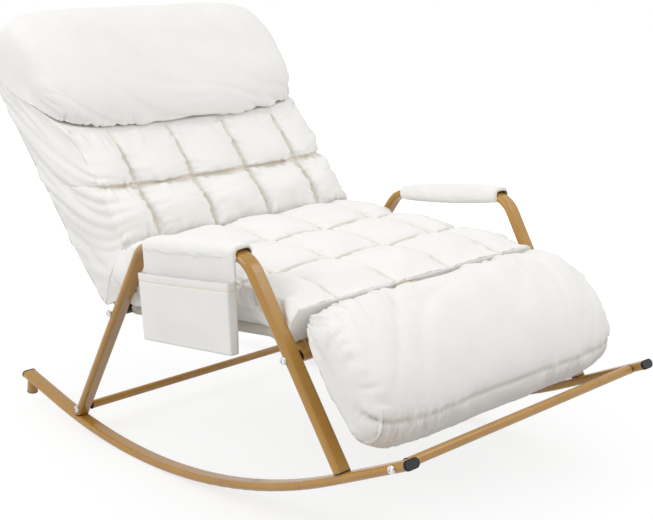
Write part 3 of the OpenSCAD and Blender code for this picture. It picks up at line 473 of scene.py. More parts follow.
class QuiltedPad(StuffedPiece):
    """One part of the mattress: squares on top, round side walls, flaps outside the tubes"""
    pressure = 2.2
    most = 0.007
    # Shares of the width: of an inner square against an even one, and of the walls' lean
    inner_share = 1.17
    lean_share = 0.04
    # How soon a square rises beside the seams, and how the last row falls to the pad's end
    column_power = 0.46
    row_power = 0.38
    last_share = 0.0
    fall_power = 2
    # Shares of the squares' height: their differences, the fall at both sides, the seams
    lively_share = 0.14
    lively_step = 1.37
    lively_row = 7
    lively_place = 0.5
    shoulder_share = 0.8
    edge_power = 6
    seam_share = 0.1
    ridge_share = 0.06
    # A row seam pulls the side walls in
    tie_share = 0.05
    tie_reach = 0.9
    tie_power = 0.3
    end_rows = 0.25
    # The side walls, and the flaps that are cut away beside the hip
    wall_height = 0.11
    wall_swell = 0.004
    hip_cut = 0.009
    hip_share = 0.16
    # Where the cloth is held when it is blown up
    held_beside_seam = 0.014
    held_at_end = 0.03
    wall_freedom = 2.2
    # Creases
    column_gathers = Gathers(share=1.0, reach=0.02, pitch=0.019, length=0.05)
    row_gathers = Gathers(share=1.1, reach=0.026, pitch=0.02, length=0.06, seed=31)
    gather_start = 0.002
    ripple = 0.0016
    ripple_size = 0.05
    wall_ripple = 0.0022
    wall_ripple_size = 0.06
    valley_width = 0.0018
    fold_slant = 0.9
    fold_drift = 0.9
    fold_pitch = 0.033
    fold_edge_share = 1.6
    fold_end = 0.02
    fold_end_share = 0.25
    fold_seeds = (3, 4)
    # The seams' thread line and the painted shade in their valleys
    seam_shade_share = 0.34
    column_shade_width = 0.002
    row_shade_width = 0.0026

    def __init__(self, lines, rows, puff, run):
        self.lines, self.rows, self.puff, self.run = lines, rows, puff, run
        self.columns = lines.mattress.columns
        self.half_width = lines.mattress.width / 2

    def between_rows(self, v):
        """True away from the pad's two ends, where a row seam runs on into the side walls"""
        return self.end_rows < v * self.rows < self.rows - self.end_rows

    def across(self, side):
        """Gives the inner squares more of the width than the two outer ones"""
        outer = 1 - 2 / self.columns
        if abs(side) < outer:
            return self.inner_share * side
        past = (abs(side) - outer) / (1 - outer)
        return math.copysign(mix(self.inner_share * outer, 1, past), side)

    def half(self, w):
        return self.half_width * (1 - self.lean_share * max(0.0, 2 * w - 1) ** 2)

    def in_outer_square(self, u):
        """True outside the middles of the two outer squares, which run on into the walls"""
        edge = 0.5 / self.columns
        return u < edge or u > 1 - edge

    def swell(self, u, v):
        """Height of the squares as a share"""
        across = 1.0 if self.in_outer_square(u) else pillow(u * self.columns % 1, self.column_power)
        along = pillow(v * self.rows % 1, self.row_power) if 0 < v < 1 else 0.0
        if v * self.rows > self.rows - 0.5:
            along = max(self.last_share, along ** self.fall_power)
        square = math.floor(u * self.columns) + self.lively_row * math.floor(v * self.rows)
        lively = 1 + self.lively_share * noise.noise(
            Vector((square * self.lively_step, self.seed, self.lively_place)))
        shoulder = 1 - self.shoulder_share * abs(2 * u - 1) ** self.edge_power
        square_height = lively * shoulder * across * mix(self.seam_share, 1, along)
        return mix(square_height, along, self.ridge_share)

    def hip_lift(self, v):
        """How much shorter a flap is beside the hip"""
        return self.hip_cut * max(0.0, 1 - v / self.hip_share) ** 2

    def shape(self, u, v, w):
        low = self.low(v)
        rise = self.high(u, v) - low
        side = 2 * u - 1
        height = rise.length * w
        tied = 0.0
        if self.between_rows(v):
            tied = max(0.0, self.tie_reach - pillow(v * self.rows % 1, self.tie_power))
        drawn = 1 - self.tie_share * tied * w ** 2 * abs(side) ** self.edge_power
        y = self.across(side) * self.half(w) * drawn
        if on_side(u):
            height = mix(-self.flap(v), rise.length, w)
            y += math.copysign(self.wall_swell * math.sin(math.pi * w) ** 2, side)
        elif w < NEAR:
            y = math.copysign(min(abs(y), self.lines.flap_y), side)
        if on_top(w):
            height += self.puff * self.swell(u, v)
        return self.lines.place(low + rise.normalized() * height, y)

    def counts(self, cell):
        return (self.columns * round(2 * self.half_width / self.columns / cell),
                self.rows * round(self.run / self.rows / cell), round(self.wall_height / cell))

    def spread(self, u, v, w):
        return drawn_together(u, self.columns), drawn_together(v, self.rows), w

    def near_seam(self, u, v):
        """Distances to the nearest seam along the pad and across it, in metres"""
        column = abs((u * self.columns + 0.5) % 1 - 0.5) / self.columns * 2 * self.half_width
        if self.in_outer_square(u):
            column = NO_SEAM
        row = abs((v * self.rows + 0.5) % 1 - 0.5) / self.rows * self.run
        return column, row

    def loose(self, cell):
        """1 where the cloth may swell: the squares and the side walls between the seams"""
        u, v, w = cell
        if on_top(w):
            return min(1.0, min(self.near_seam(u, v)) / self.held_beside_seam)
        if on_side(u):
            end = min(v, 1 - v) * self.run
            return min(1.0, self.wall_freedom * w) * min(1.0, end / self.held_at_end)
        return 0.0

    def wall_fold(self, u, v, w):
        """Slanting folds of the side walls, which run on over the edge of the squares"""
        slope = v * self.run + w * self.wall_height * self.fold_slant
        return self.lines.mattress.crease * folds(slope / self.fold_pitch, w * self.fold_drift,
                                           self.seed + self.fold_seeds[u >= 0.5])

    def depth(self, cell, place):
        """Creases: gathers that run off the seams, and slanting folds on the side walls"""
        u, v, w = cell
        m = self.lines.mattress
        if on_top(w):
            column, row = self.near_seam(u, v)
            size = self.column_gathers.size(v * self.run, column, self.seed + round(u * self.columns)) \
                * (1 - math.exp(-column / self.gather_start))
            size += self.row_gathers.size((2 * u - 1) * self.half_width, row, self.seed) \
                * (1 - math.exp(-row / self.gather_start))
            size *= m.pucker * (self.puff / m.back_puff) ** 2
            size += self.ripple * wobble(place, self.ripple_size, self.seed)
            size -= m.seam_depth * math.exp(-min(column, row) / self.valley_width)
            edge = max(0.0, 1 - min(u, 1 - u) * self.columns * self.fold_edge_share)
            return size + edge * self.wall_fold(u, v, w)
        if on_side(u):
            end = min(v, 1 - v) * self.run
            fade = min(1.0, end / self.fold_end + self.fold_end_share)
            return fade * self.wall_fold(u, v, w) \
                + self.wall_ripple * wobble(place, self.wall_ripple_size, self.seed)
        return 0.0

    # Thin bands along the column and row seams: thread line and painted shade in the seam valleys
    def seam_line_and_shade(self, cell):
        u, v, w = cell
        if not on_top(w):
            return 0.0
        column, row = self.near_seam(u, v)
        seam_line_and_shade = math.exp(-(column / self.column_shade_width) ** 2)
        if self.between_rows(v):
            seam_line_and_shade += math.exp(-(row / self.row_shade_width) ** 2)
        return self.seam_shade_share * min(1.0, seam_line_and_shade)


class BackPad(QuiltedPad):
    """The back part, whose upper end slants under the head roll"""
    seed = 11
    run_share = 0.9

    def __init__(self, lines):
        m = lines.mattress
        super().__init__(lines, m.back_rows, m.back_puff, m.tuck * self.run_share)
        self.gap = SEWN_GAP * lines.back_dir
        self.top_high = lines.on_back(m.tuck, lines.sizes.rest_off + m.back_high)
        self.slant = Vector((m.tuck_rear - m.tuck, m.back_high)).length / m.back_high

    def low(self, v):
        return mix(self.lines.hip_low + self.gap, self.lines.back_top, v)

    def high(self, u, v):
        curve = self.lines.mattress.tuck_curve * v * abs(2 * u - 1) ** TUCK_POWER
        return mix(self.lines.hip_high + self.gap, self.top_high, v) + curve * self.lines.back_dir

    def flap(self, v):
        return self.lines.full_flap * mix(1, self.slant, v * v) - self.hip_lift(v)


class SeatPad(QuiltedPad):
    """The seat part, whose front end falls gently to the leg roll"""
    seed = 23
    run = 0.44
    last_share = 0.02
    fall_power = 4.5
    flap_end = 0.001
    flap_share = 0.07

    def __init__(self, lines):
        super().__init__(lines, lines.mattress.seat_rows, lines.mattress.seat_puff, self.run)
        self.gap = Vector((SEWN_GAP, 0))

    def low(self, v):
        return self.lines.seat_low(v) + self.gap

    def high(self, u, v):
        return mix(self.lines.hip_high, self.lines.seat_front_high, v) + self.gap

    def flap(self, v):
        return mix(self.lines.full_flap, self.flap_end, min(1, v / self.flap_share)) \
            - self.hip_lift(v)


class MattressRoll(StuffedPiece):
    """A stuffed roll across the chair: section gives its side view, drawn in at both ends"""
    pressure = 2.0
    most = 0.004
    # How square the roll stays towards its ends, and how large its end faces are
    end_power = 6.5
    rim_share = 0.3
    turn_power = 1.6
    # Gathers at the ends, and soft unevenness
    rumple_from = 0.72
    rumple_power = 1.4
    rumple_pitch = 0.03
    rumple_slide = 1.2
    ripple = 0.0018
    ripple_size = 0.075
    # Past this share of the half width the seams' thread line and painted shade end
    seam_shade_end = 0.97

    def __init__(self, lines, middle):
        self.lines, self.middle = lines, middle
        self.half_width = lines.mattress.width / 2 + lines.mattress.roll_over

    def clip(self, p, y):
        return p

    def around(self, a):
        """Length of cloth that an angle spans"""
        return a * self.ring / (2 * math.pi)

    def angle_of(self, cell):
        return math.atan2(2 * cell[2] - 1, 2 * cell[1] - 1)

    def shape(self, u, v, w):
        reach = max(abs(2 * v - 1), abs(2 * w - 1))
        side = 2 * u - 1
        full = math.pi / 2
        rim = self.rim_share * full
        turn = rim * reach if on_side(u) else mix(full, rim, abs(side) ** self.turn_power)
        y = math.copysign(math.cos(turn) ** (2 / self.end_power) * self.half_width, side)
        a = self.angle_of((u, v, w)) if reach > 0 else 0.0
        drawn = math.sin(turn) ** (2 / self.end_power)
        p = self.middle + (self.section(a, y) - self.middle) * drawn
        return self.lines.place(self.world(self.clip(p, y)), y)

    def counts(self, cell):
        quarter = self.ring / 4 / cell
        return 2 * round(self.half_width / cell), round(quarter), round(quarter * self.tall_share)

    def depth(self, cell, place):
        u, v, w = cell
        a = self.angle_of(cell)
        side = abs(2 * u - 1)
        reach = max(abs(2 * v - 1), abs(2 * w - 1)) if on_side(u) else 1.0
        ends = max(0.0, (side - self.rumple_from) / (1 - self.rumple_from)) ** self.rumple_power
        size = self.lines.mattress.pucker * self.rumple * ends * reach \
            * folds(self.around(a) / self.rumple_pitch, side * self.rumple_slide, self.seed)
        size += self.ripple * wobble(place, self.ripple_size, self.seed)
        return size + self.seam_folds((2 * u - 1) * self.half_width, a)


class HeadRoll(MattressRoll):
    """The head roll tucks over the back pad, with a seam at its lower front edge"""
    seed = 37
    ring = 0.72
    tall_share = 0.8
    rumple = 0.45
    middle_share = 0.63
    seam_at = math.radians(152)
    # Powers of the rounded side view
    upper_power = 0.8
    lower_power = 0.6
    depth_power = 0.8
    tuck_gap = 0.0006
    held_below = 0.35
    gathers = Gathers(share=0.7, reach=0.03, pitch=0.032, length=0.05, seed=71, twist=0.09)
    long_folds = Gathers(share=0.8, reach=0.08, pitch=0.09, length=0.11, seed=19, slant=0.07)
    # Painted shade on the roll's underside, past its front seam, where it tucks over the back pad
    seam_shade_share = 0.5
    tuck_shade_from = 0.03
    tuck_shade_over = math.radians(7)

    def __init__(self, lines):
        m = lines.mattress
        super().__init__(lines, Vector((m.head_end - m.head_depth * self.middle_share,
                                        m.head_depth / 2 - lines.full_flap + lines.sizes.rest_off)))

    def section(self, a, y):
        m = self.lines.mattress
        c, n = math.cos(a), math.sin(a)
        start = m.tuck + m.tuck_curve * abs(y / self.half_width) ** TUCK_POWER - m.overhang
        power = self.upper_power if c > 0 else self.lower_power
        along = (m.head_end + start) / 2 + (m.head_end - start) / 2 * math.copysign(abs(c) ** power, c)
        out = self.middle.y + m.head_depth / 2 * math.copysign(abs(n) ** self.depth_power, n)
        return Vector((along, out))

    def clip(self, p, y):
        """Keeps the roll in front of the tubes and above the seam with the back pad"""
        s = self.lines.sizes
        out = p.y
        if abs(y) < self.lines.flap_y and p.x < s.back_length + s.tube:
            out = max(out, s.rest_off)
        if out > s.rest_off + self.lines.mattress.back_high:
            return Vector((p.x, out))
        return Vector((max(p.x, self.lines.tuck(y / self.half_width, out) + self.tuck_gap), out))

    def world(self, p):
        return self.lines.on_back(p.x, p.y)

    def seam_folds(self, x, a):
        """Gathers that run up from the tuck, and longer soft folds"""
        off = self.around(max(0.0, self.seam_at - a)) if a > 0 else NO_SEAM
        m = self.lines.mattress
        return m.pucker * self.gathers.size(x, off) + m.crease * self.long_folds.size(x, off)

    # Painted shade over the tucked underside of the roll, from just past its front seam
    def seam_line_and_shade(self, cell):
        if abs(2 * cell.x - 1) > self.seam_shade_end:
            return 0.0
        past = abs(self.angle_of(cell)) - self.seam_at - self.tuck_shade_from
        return self.seam_shade_share * min(1.0, max(0.0, past / self.tuck_shade_over))

    def loose(self, cell):
        return 1.0 if cell.z > self.held_below else 0.0


class LegRoll(MattressRoll):
    """The leg roll hangs in front of the seat, with a gathered seam below its front"""
    seed = 53
    ring = 0.62
    tall_share = 0.55
    rumple = 0.8
    seam_at = math.radians(33)
    # How soon the front rises below the top seam, and the powers of the rounded side view
    rise_share = 0.022
    skew_power = 1.3
    front_power = 0.35
    rear_power = 0.5
    seam_dent = 0.0034
    dent_width = 0.003
    gathers = Gathers(share=0.9, reach=0.045, pitch=0.014, length=0.08, seed=91)
    reach_above = 0.012
    top_gathers = Gathers(share=1.9, reach=0.05, pitch=0.02, length=0.1, seed=57, slant=0.09)
    long_folds = Gathers(share=1.0, reach=0.13, pitch=0.1, length=0.2, seed=12, slant=0.09)
    # Seam colour on the roll: a thin thread line with painted shade along the dented front seam, and
    # wide painted shade in the crease of the top seam against the seat pad
    seam_shade_share = 0.25
    front_seam_shade_width = 0.0025
    top_crease_shade_width = 0.009

    def __init__(self, lines):
        super().__init__(lines, Vector((lines.mattress.leg_length / 2, 0)))

    def section(self, a, y):
        m = self.lines.mattress
        w = (1 + math.cos(a)) / 2
        if not 0 < w < 1:
            return Vector((m.leg_length * w, 0))
        if math.sin(a) > 0:
            rise = (1 - math.exp(-w / self.rise_share)) \
                * math.sin(math.pi * w ** self.skew_power) ** self.front_power
            return Vector((m.leg_length * w, m.leg_front * rise))
        return Vector((m.leg_length * w, -m.leg_rear * math.sin(math.pi * w) ** self.rear_power))

    def world(self, p):
        a = self.lines.mattress.leg_angle
        top = self.lines.seat_front_high + SEWN_GAP * self.lines.knee_dir
        return top + p.x * Vector((math.cos(a), -math.sin(a))) \
            + p.y * Vector((math.sin(a), math.cos(a)))

    def seam_folds(self, x, a):
        """The dented front seam with its gathers, and the folds that hang from the top seam"""
        m = self.lines.mattress
        off = self.around(a - self.seam_at)
        down = abs(self.around(abs(a) - math.pi))
        reach = self.gathers.reach if off < 0 else self.reach_above
        return m.pucker * (self.gathers.size(x, off, reach=reach) + self.top_gathers.size(x, down)) \
            + m.crease * self.long_folds.size(x, down) \
            - self.seam_dent * math.exp(-(off / self.dent_width) ** 2)

    # Thread line and painted shade at the front seam, and painted shade in the top crease
    def seam_line_and_shade(self, cell):
        if abs(2 * cell.x - 1) > self.seam_shade_end:
            return 0.0
        a = self.angle_of(cell)
        off, down = self.around(a - self.seam_at), self.around(abs(a) - math.pi)
        return min(1.0, self.seam_shade_share * math.exp(-(off / self.front_seam_shade_width) ** 2)
                   + math.exp(-(down / self.top_crease_shade_width) ** 2))


# Sheets of cloth

def cloth_grid(name, counts, shape, slot, thickness):
    """An open grid of cloth with a thickness; shape places each (u, v)"""
    across, along = counts
    points, cells, faces = [], [], []
    for j in range(along + 1):
        for i in range(across + 1):
            cells.append((i / across, j / along, 0))
            points.append(shape(i / across, j / along))
    for j in range(along):
        for i in range(across):
            a = j * (across + 1) + i
            faces.append((a, a + 1, a + across + 2, a + across + 1))
    piece = new_piece(name, points, faces, finish(slot), cells)
    thicken(piece, thickness, 0)
    return piece


def polyline(points):
    """A function that gives the point at a share of the line's length"""
    runs = [(b - a).length for a, b in zip(points, points[1:])]
    total = sum(runs)

    def at(t):
        left = min(max(t, 0.0), 1.0) * total
        for a, b, run in zip(points, points[1:], runs):
            if left <= run:
                return mix(a, b, left / run)
            left -= run
        return points[-1]
    return at, total


def arc_points(centre, radius, start, end, steps):
    return [centre + radius * turned(mix(start, end, i / steps)) for i in range(steps + 1)]


# Materials

# Shares of a finish's colour and roughness between which it changes over the surface
HARD_TINTS = (0.92, 1.07)
HARD_ROUGHNESS = (0.8, 1.25)
CLOTH_TINTS = (0.975, 1.015)
CLOTH_ROUGHNESS = (0.72, 0.9)
CLOTH_BUMP = 0.25
BUMP_DISTANCE = 0.0002
COAT_ROUGHNESS = 0.06


def socket(tree, name, direction="INPUT", default=None):
    """A number that a node group takes or gives"""
    made = tree.interface.new_socket(name=name, in_out=direction, socket_type="NodeSocketFloat")
    if default is not None:
        made.default_value = default


def set_inputs(shader, **values):
    """Sets inputs by name, with a low line for each space"""
    for name, value in values.items():
        shader.inputs[name.replace("_", " ")].default_value = value


def node(tree, kind, place=(0, 0), **values):
    made = tree.nodes.new(kind)
    made.location = place
    for key, value in values.items():
        setattr(made, key, value)
    return made


def weave_group():
    """Woven cloth: a fine weave and soft mottling, as a height and a mask"""
    tree = bpy.data.node_groups.new("woven_cloth", "ShaderNodeTree")
    socket(tree, "Thread", default=900.0)
    socket(tree, "Mottle", default=14.0)
    socket(tree, "Height", "OUTPUT")
    socket(tree, "Mask", "OUTPUT")
    inside = node(tree, "NodeGroupInput", (-900, 0))
    outside = node(tree, "NodeGroupOutput", (500, 0))
    place = node(tree, "ShaderNodeTexCoord", (-900, -250))
    weave = []
    for axis, y in (("X", 200), ("Z", -50)):
        wave = node(tree, "ShaderNodeTexWave", (-500, y), wave_type="BANDS",
                    bands_direction=axis, wave_profile="SIN")
        set_inputs(wave, Distortion=0.6, Detail=1)
        tree.links.new(place.outputs["Object"], wave.inputs["Vector"])
        tree.links.new(inside.outputs["Thread"], wave.inputs["Scale"])
        weave.append(wave)
    cross = node(tree, "ShaderNodeMath", (-200, 100), operation="MULTIPLY")
    tree.links.new(weave[0].outputs["Fac"], cross.inputs[0])
    tree.links.new(weave[1].outputs["Fac"], cross.inputs[1])
    mottle = node(tree, "ShaderNodeTexNoise", (-500, -350))
    set_inputs(mottle, Detail=5, Roughness=0.6)
    tree.links.new(place.outputs["Object"], mottle.inputs["Vector"])
    tree.links.new(inside.outputs["Mottle"], mottle.inputs["Scale"])
    tree.links.new(cross.outputs[0], outside.inputs["Height"])
    tree.links.new(mottle.outputs["Fac"], outside.inputs["Mask"])
    return tree


def wear_group():
    """Slight unevenness of a hard surface: a fine height and a mask of handling marks"""
    tree = bpy.data.node_groups.new("surface_wear", "ShaderNodeTree")
    socket(tree, "Grain", default=400.0)
    socket(tree, "Marks", default=18.0)
    socket(tree, "Height", "OUTPUT")
    socket(tree, "Mask", "OUTPUT")
    inside = node(tree, "NodeGroupInput", (-900, 0))
    outside = node(tree, "NodeGroupOutput", (500, 0))
    place = node(tree, "ShaderNodeTexCoord", (-900, -250))
    for name, result, detail, y in (("Grain", "Height", 2, 150), ("Marks", "Mask", 6, -150)):
        texture = node(tree, "ShaderNodeTexNoise", (-400, y))
        set_inputs(texture, Detail=detail)
        tree.links.new(place.outputs["Object"], texture.inputs["Vector"])
        tree.links.new(inside.outputs[name], texture.inputs["Scale"])
        tree.links.new(texture.outputs["Fac"], outside.inputs[result])
    return tree


def shared_group(name, maker):
    return bpy.data.node_groups.get(name) or maker()


def new_material(name):
    material = bpy.data.materials.new(name)
    material.use_nodes = True
    tree = material.node_tree
    return material, tree, tree.nodes["Principled BSDF"]


def ramp_colour(tree, mask, rgb, tints, ends=(0.3, 0.7)):
    """Changes a colour between two shares of it by a mask"""
    ramp = node(tree, "ShaderNodeValToRGB", (-300, 300))
    first, last = ramp.color_ramp.elements
    first.position, last.position = ends
    first.color, last.color = [(*scaled(rgb, tint), 1) for tint in tints]
    tree.links.new(mask, ramp.inputs["Fac"])
    return ramp.outputs["Color"]


def add_bump(tree, shader, height, strength):
    bump = node(tree, "ShaderNodeBump", (-250, -300))
    set_inputs(bump, Strength=strength, Distance=BUMP_DISTANCE)
    tree.links.new(height, bump.inputs["Height"])
    tree.links.new(bump.outputs["Normal"], shader.inputs["Normal"])


def scaled(rgb, factor):
    return tuple(min(1.0, c * factor) for c in rgb)


def rough_range(tree, shader, mask, low, high):
    span = node(tree, "ShaderNodeMapRange", (-300, 0))
    set_inputs(span, To_Min=low, To_Max=high)
    tree.links.new(mask, span.inputs["Value"])
    tree.links.new(span.outputs["Result"], shader.inputs["Roughness"])


def hard_finish(name, rgb, metal, rough, grain, bump, coat=0):
    """Paint, plastic or metal with its own grain and handling marks"""
    material, tree, shader = new_material(name)
    wear = node(tree, "ShaderNodeGroup", (-700, 0),
                node_tree=shared_group("surface_wear", wear_group))
    set_inputs(wear, Grain=grain)
    set_inputs(shader, Metallic=metal, Coat_Weight=coat, Coat_Roughness=COAT_ROUGHNESS)
    base = ramp_colour(tree, wear.outputs["Mask"], rgb, HARD_TINTS)
    tree.links.new(base, shader.inputs["Base Color"])
    rough_range(tree, shader, wear.outputs["Mask"], *[rough * share for share in HARD_ROUGHNESS])
    add_bump(tree, shader, wear.outputs["Height"], bump)
    return material


def cloth_finish(name, rgb, thread, seam=None):
    """Woven cloth, with the seam colour mixed in where the mesh marks a seam: golden thread and painted
    shade
    """
    material, tree, shader = new_material(name)
    weave = node(tree, "ShaderNodeGroup", (-700, 0),
                 node_tree=shared_group("woven_cloth", weave_group))
    set_inputs(weave, Thread=thread)
    set_inputs(shader, Sheen_Weight=0.15, Sheen_Roughness=0.5, Specular_IOR_Level=0.25)
    base = ramp_colour(tree, weave.outputs["Mask"], rgb, CLOTH_TINTS)
    if seam:
        # The seam mask mixes in the seam colour: a thread line, and painted shade in the seams' valleys
        # and tucks
        seam_line_and_shade = node(tree, "ShaderNodeAttribute", (-700, 400), attribute_name="seam")
        tint = node(tree, "ShaderNodeMix", (-50, 300), data_type="RGBA", blend_type="MIX")
        set_inputs(tint, B=(*seam, 1))
        tree.links.new(seam_line_and_shade.outputs["Fac"], tint.inputs["Factor"])
        tree.links.new(base, tint.inputs["A"])
        base = tint.outputs["Result"]
    tree.links.new(base, shader.inputs["Base Color"])
    rough_range(tree, shader, weave.outputs["Mask"], *CLOTH_ROUGHNESS)
    add_bump(tree, shader, weave.outputs["Height"], CLOTH_BUMP)
    return material


def finish(slot):
    """The procedural material of a record slot, made when it is first asked for"""
    name = "rocker_" + slot
    if bpy.data.materials.get(name):
        return bpy.data.materials[name]
    c = bpy.context.scene.rocker_finishes
    makers = {
        "frame_paint": lambda: hard_finish(name, c.paint, metal=0, rough=0.28, grain=650,
                                           bump=0.05, coat=0.3),
        "bare_steel": lambda: hard_finish(name, c.steel, metal=1, rough=0.4, grain=900, bump=0.1),
        "bright_fasteners": lambda: hard_finish(name, c.bright, metal=1, rough=0.22, grain=500,
                                                bump=0.05),
        "black_plastic": lambda: hard_finish(name, c.plastic, metal=0, rough=0.42, grain=1500,
                                             bump=0.3),
        # The cushion cloth takes the seam colour, thread line and painted shade, where its mesh marks
        # seams
        "cushion_cloth": lambda: cloth_finish(name, c.cushion, thread=900, seam=tuple(c.seam)),
        "sling_cloth": lambda: cloth_finish(name, c.sling, thread=1100),
    }
    return makers[slot]()


# Which record slot each solid of the frame takes
NODE_FINISHES = {
    "frame_paint": ["right_rocker", "left_rocker", "right_side_frame", "left_side_frame",
                    "front_cross_tube", "rear_cross_tube", "seat_frame", "back_frame",
                    "hip_cross_tube", "lumbar_cross_tube", "shoulder_cross_tube"],
    "bare_steel": ["right_frame_joiner", "left_frame_joiner"],
    "bright_fasteners": ["rear_foot_bolts", "front_rocker_bolts", "seat_rear_bolts",
                         "seat_front_bolts", "bolt_washers", "seat_nuts", "joiner_bolts"],
    "black_plastic": ["front_tube_plugs", "rear_tube_plugs", "seat_bar_plugs",
                      "right_rocker_front_cap", "left_rocker_front_cap",
                      "right_rocker_rear_cap", "left_rocker_rear_cap",
                      "right_stub_plug", "left_stub_plug", "rear_leg_collars",
                      "front_leg_collars", "seat_spacers"],
}


def paint_nodes(slot):
    for name in NODE_FINISHES[slot]:
        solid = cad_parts[name]
        solid.data.materials.clear()
        solid.data.materials.append(finish(slot))


class PaintFrame(bpy.types.Operator):
    """Gives the steel tubes their golden gloss paint, and the joiners bare steel"""
    bl_idname = "rocker.paint_frame"
    bl_label = "Paint the frame"

    def execute(self, context):
        paint_nodes("frame_paint")
        paint_nodes("bare_steel")
        return {"FINISHED"}


class FinishFittings(bpy.types.Operator):
    """Gives the caps, plugs and collars black plastic, and the bolts bright plating"""
    bl_idname = "rocker.finish_fittings"
    bl_label = "Finish the fittings"

    def execute(self, context):
        paint_nodes("black_plastic")
        paint_nodes("bright_fasteners")
        return {"FINISHED"}


class SewBackPad(bpy.types.Operator):
    """Sews the back part of the quilted mattress"""
    bl_idname = "rocker.sew_back_pad"
    bl_label = "Sew the back pad"

    def execute(self, context):
        BackPad(ChairLines(context.scene)).make("back_pad_quilted", "back_pad", fill=0.8)
        return {"FINISHED"}


class SewSeatPad(bpy.types.Operator):
    """Sews the seat part of the quilted mattress"""
    bl_idname = "rocker.sew_seat_pad"
    bl_label = "Sew the seat pad"

    def execute(self, context):
        SeatPad(ChairLines(context.scene)).make("seat_pad_quilted", "seat_pad", fill=0.7)
        return {"FINISHED"}


class SewHeadRoll(bpy.types.Operator):
    """Sews the thick head roll at the top of the mattress"""
    bl_idname = "rocker.sew_head_roll"
    bl_label = "Sew the head roll"

    def execute(self, context):
        HeadRoll(ChairLines(context.scene)).make("head_roll_stuffed", "head_roll", fill=0.9)
        return {"FINISHED"}


class SewLegRoll(bpy.types.Operator):
    """Sews the leg roll that hangs over the front bar"""
    bl_idname = "rocker.sew_leg_roll"
    bl_label = "Sew the leg roll"

    def execute(self, context):
        LegRoll(ChairLines(context.scene)).make("leg_roll_stuffed", "leg_roll", fill=0.9)
        return {"FINISHED"}


class SewHood(bpy.types.Operator):
    """Sews the hood that slips over the top bar, behind the head roll"""
    bl_idname = "rocker.sew_hood"
    bl_label = "Sew the hood"
    # Side view of the hood: how far up past the back tubes, and how far out from their middle
    line = ((0.0475, 0.052), (0.040, 0.036), (0.030, 0.019), (0.028, 0.006), (0.0235, -0.006),
            (0.014, -0.0138), (-0.02, -0.0142), (-0.075, -0.014), (-0.129, -0.0138))
    grid = (120, 36)
    cloth = 0.0012
    # Pulled folds, finer across than down, that are weakest at the top
    pull = 0.0012
    pull_across = 26
    pull_down = 2.2
    pull_seed = 4.4
    pull_top_share = 0.3
    hem_at = 0.9
    hem_width = 0.008
    hem_mark = 0.5

    def execute(self, context):
        lines = ChairLines(context.scene)
        at, run = polyline([lines.on_back(lines.sizes.back_length + up, out) for up, out in self.line])

        def shape(u, v):
            pull = abs(self.pull * noise.noise(
                Vector((u * self.pull_across, v * self.pull_down, self.pull_seed))))
            off = pull * mix(self.pull_top_share, 1, v) + CLOTH_GAP
            return lines.place(at(v) - lines.back_norm * off, (2 * u - 1) * lines.flap_y)

        piece = cloth_grid("head_hood_cloth", self.grid, shape, "cushion_cloth", self.cloth)
        mark_seam(piece, self.hem_mark, self.hem_width, lambda cell: cell.y - self.hem_at)
        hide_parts("head_hood")
        return {"FINISHED"}


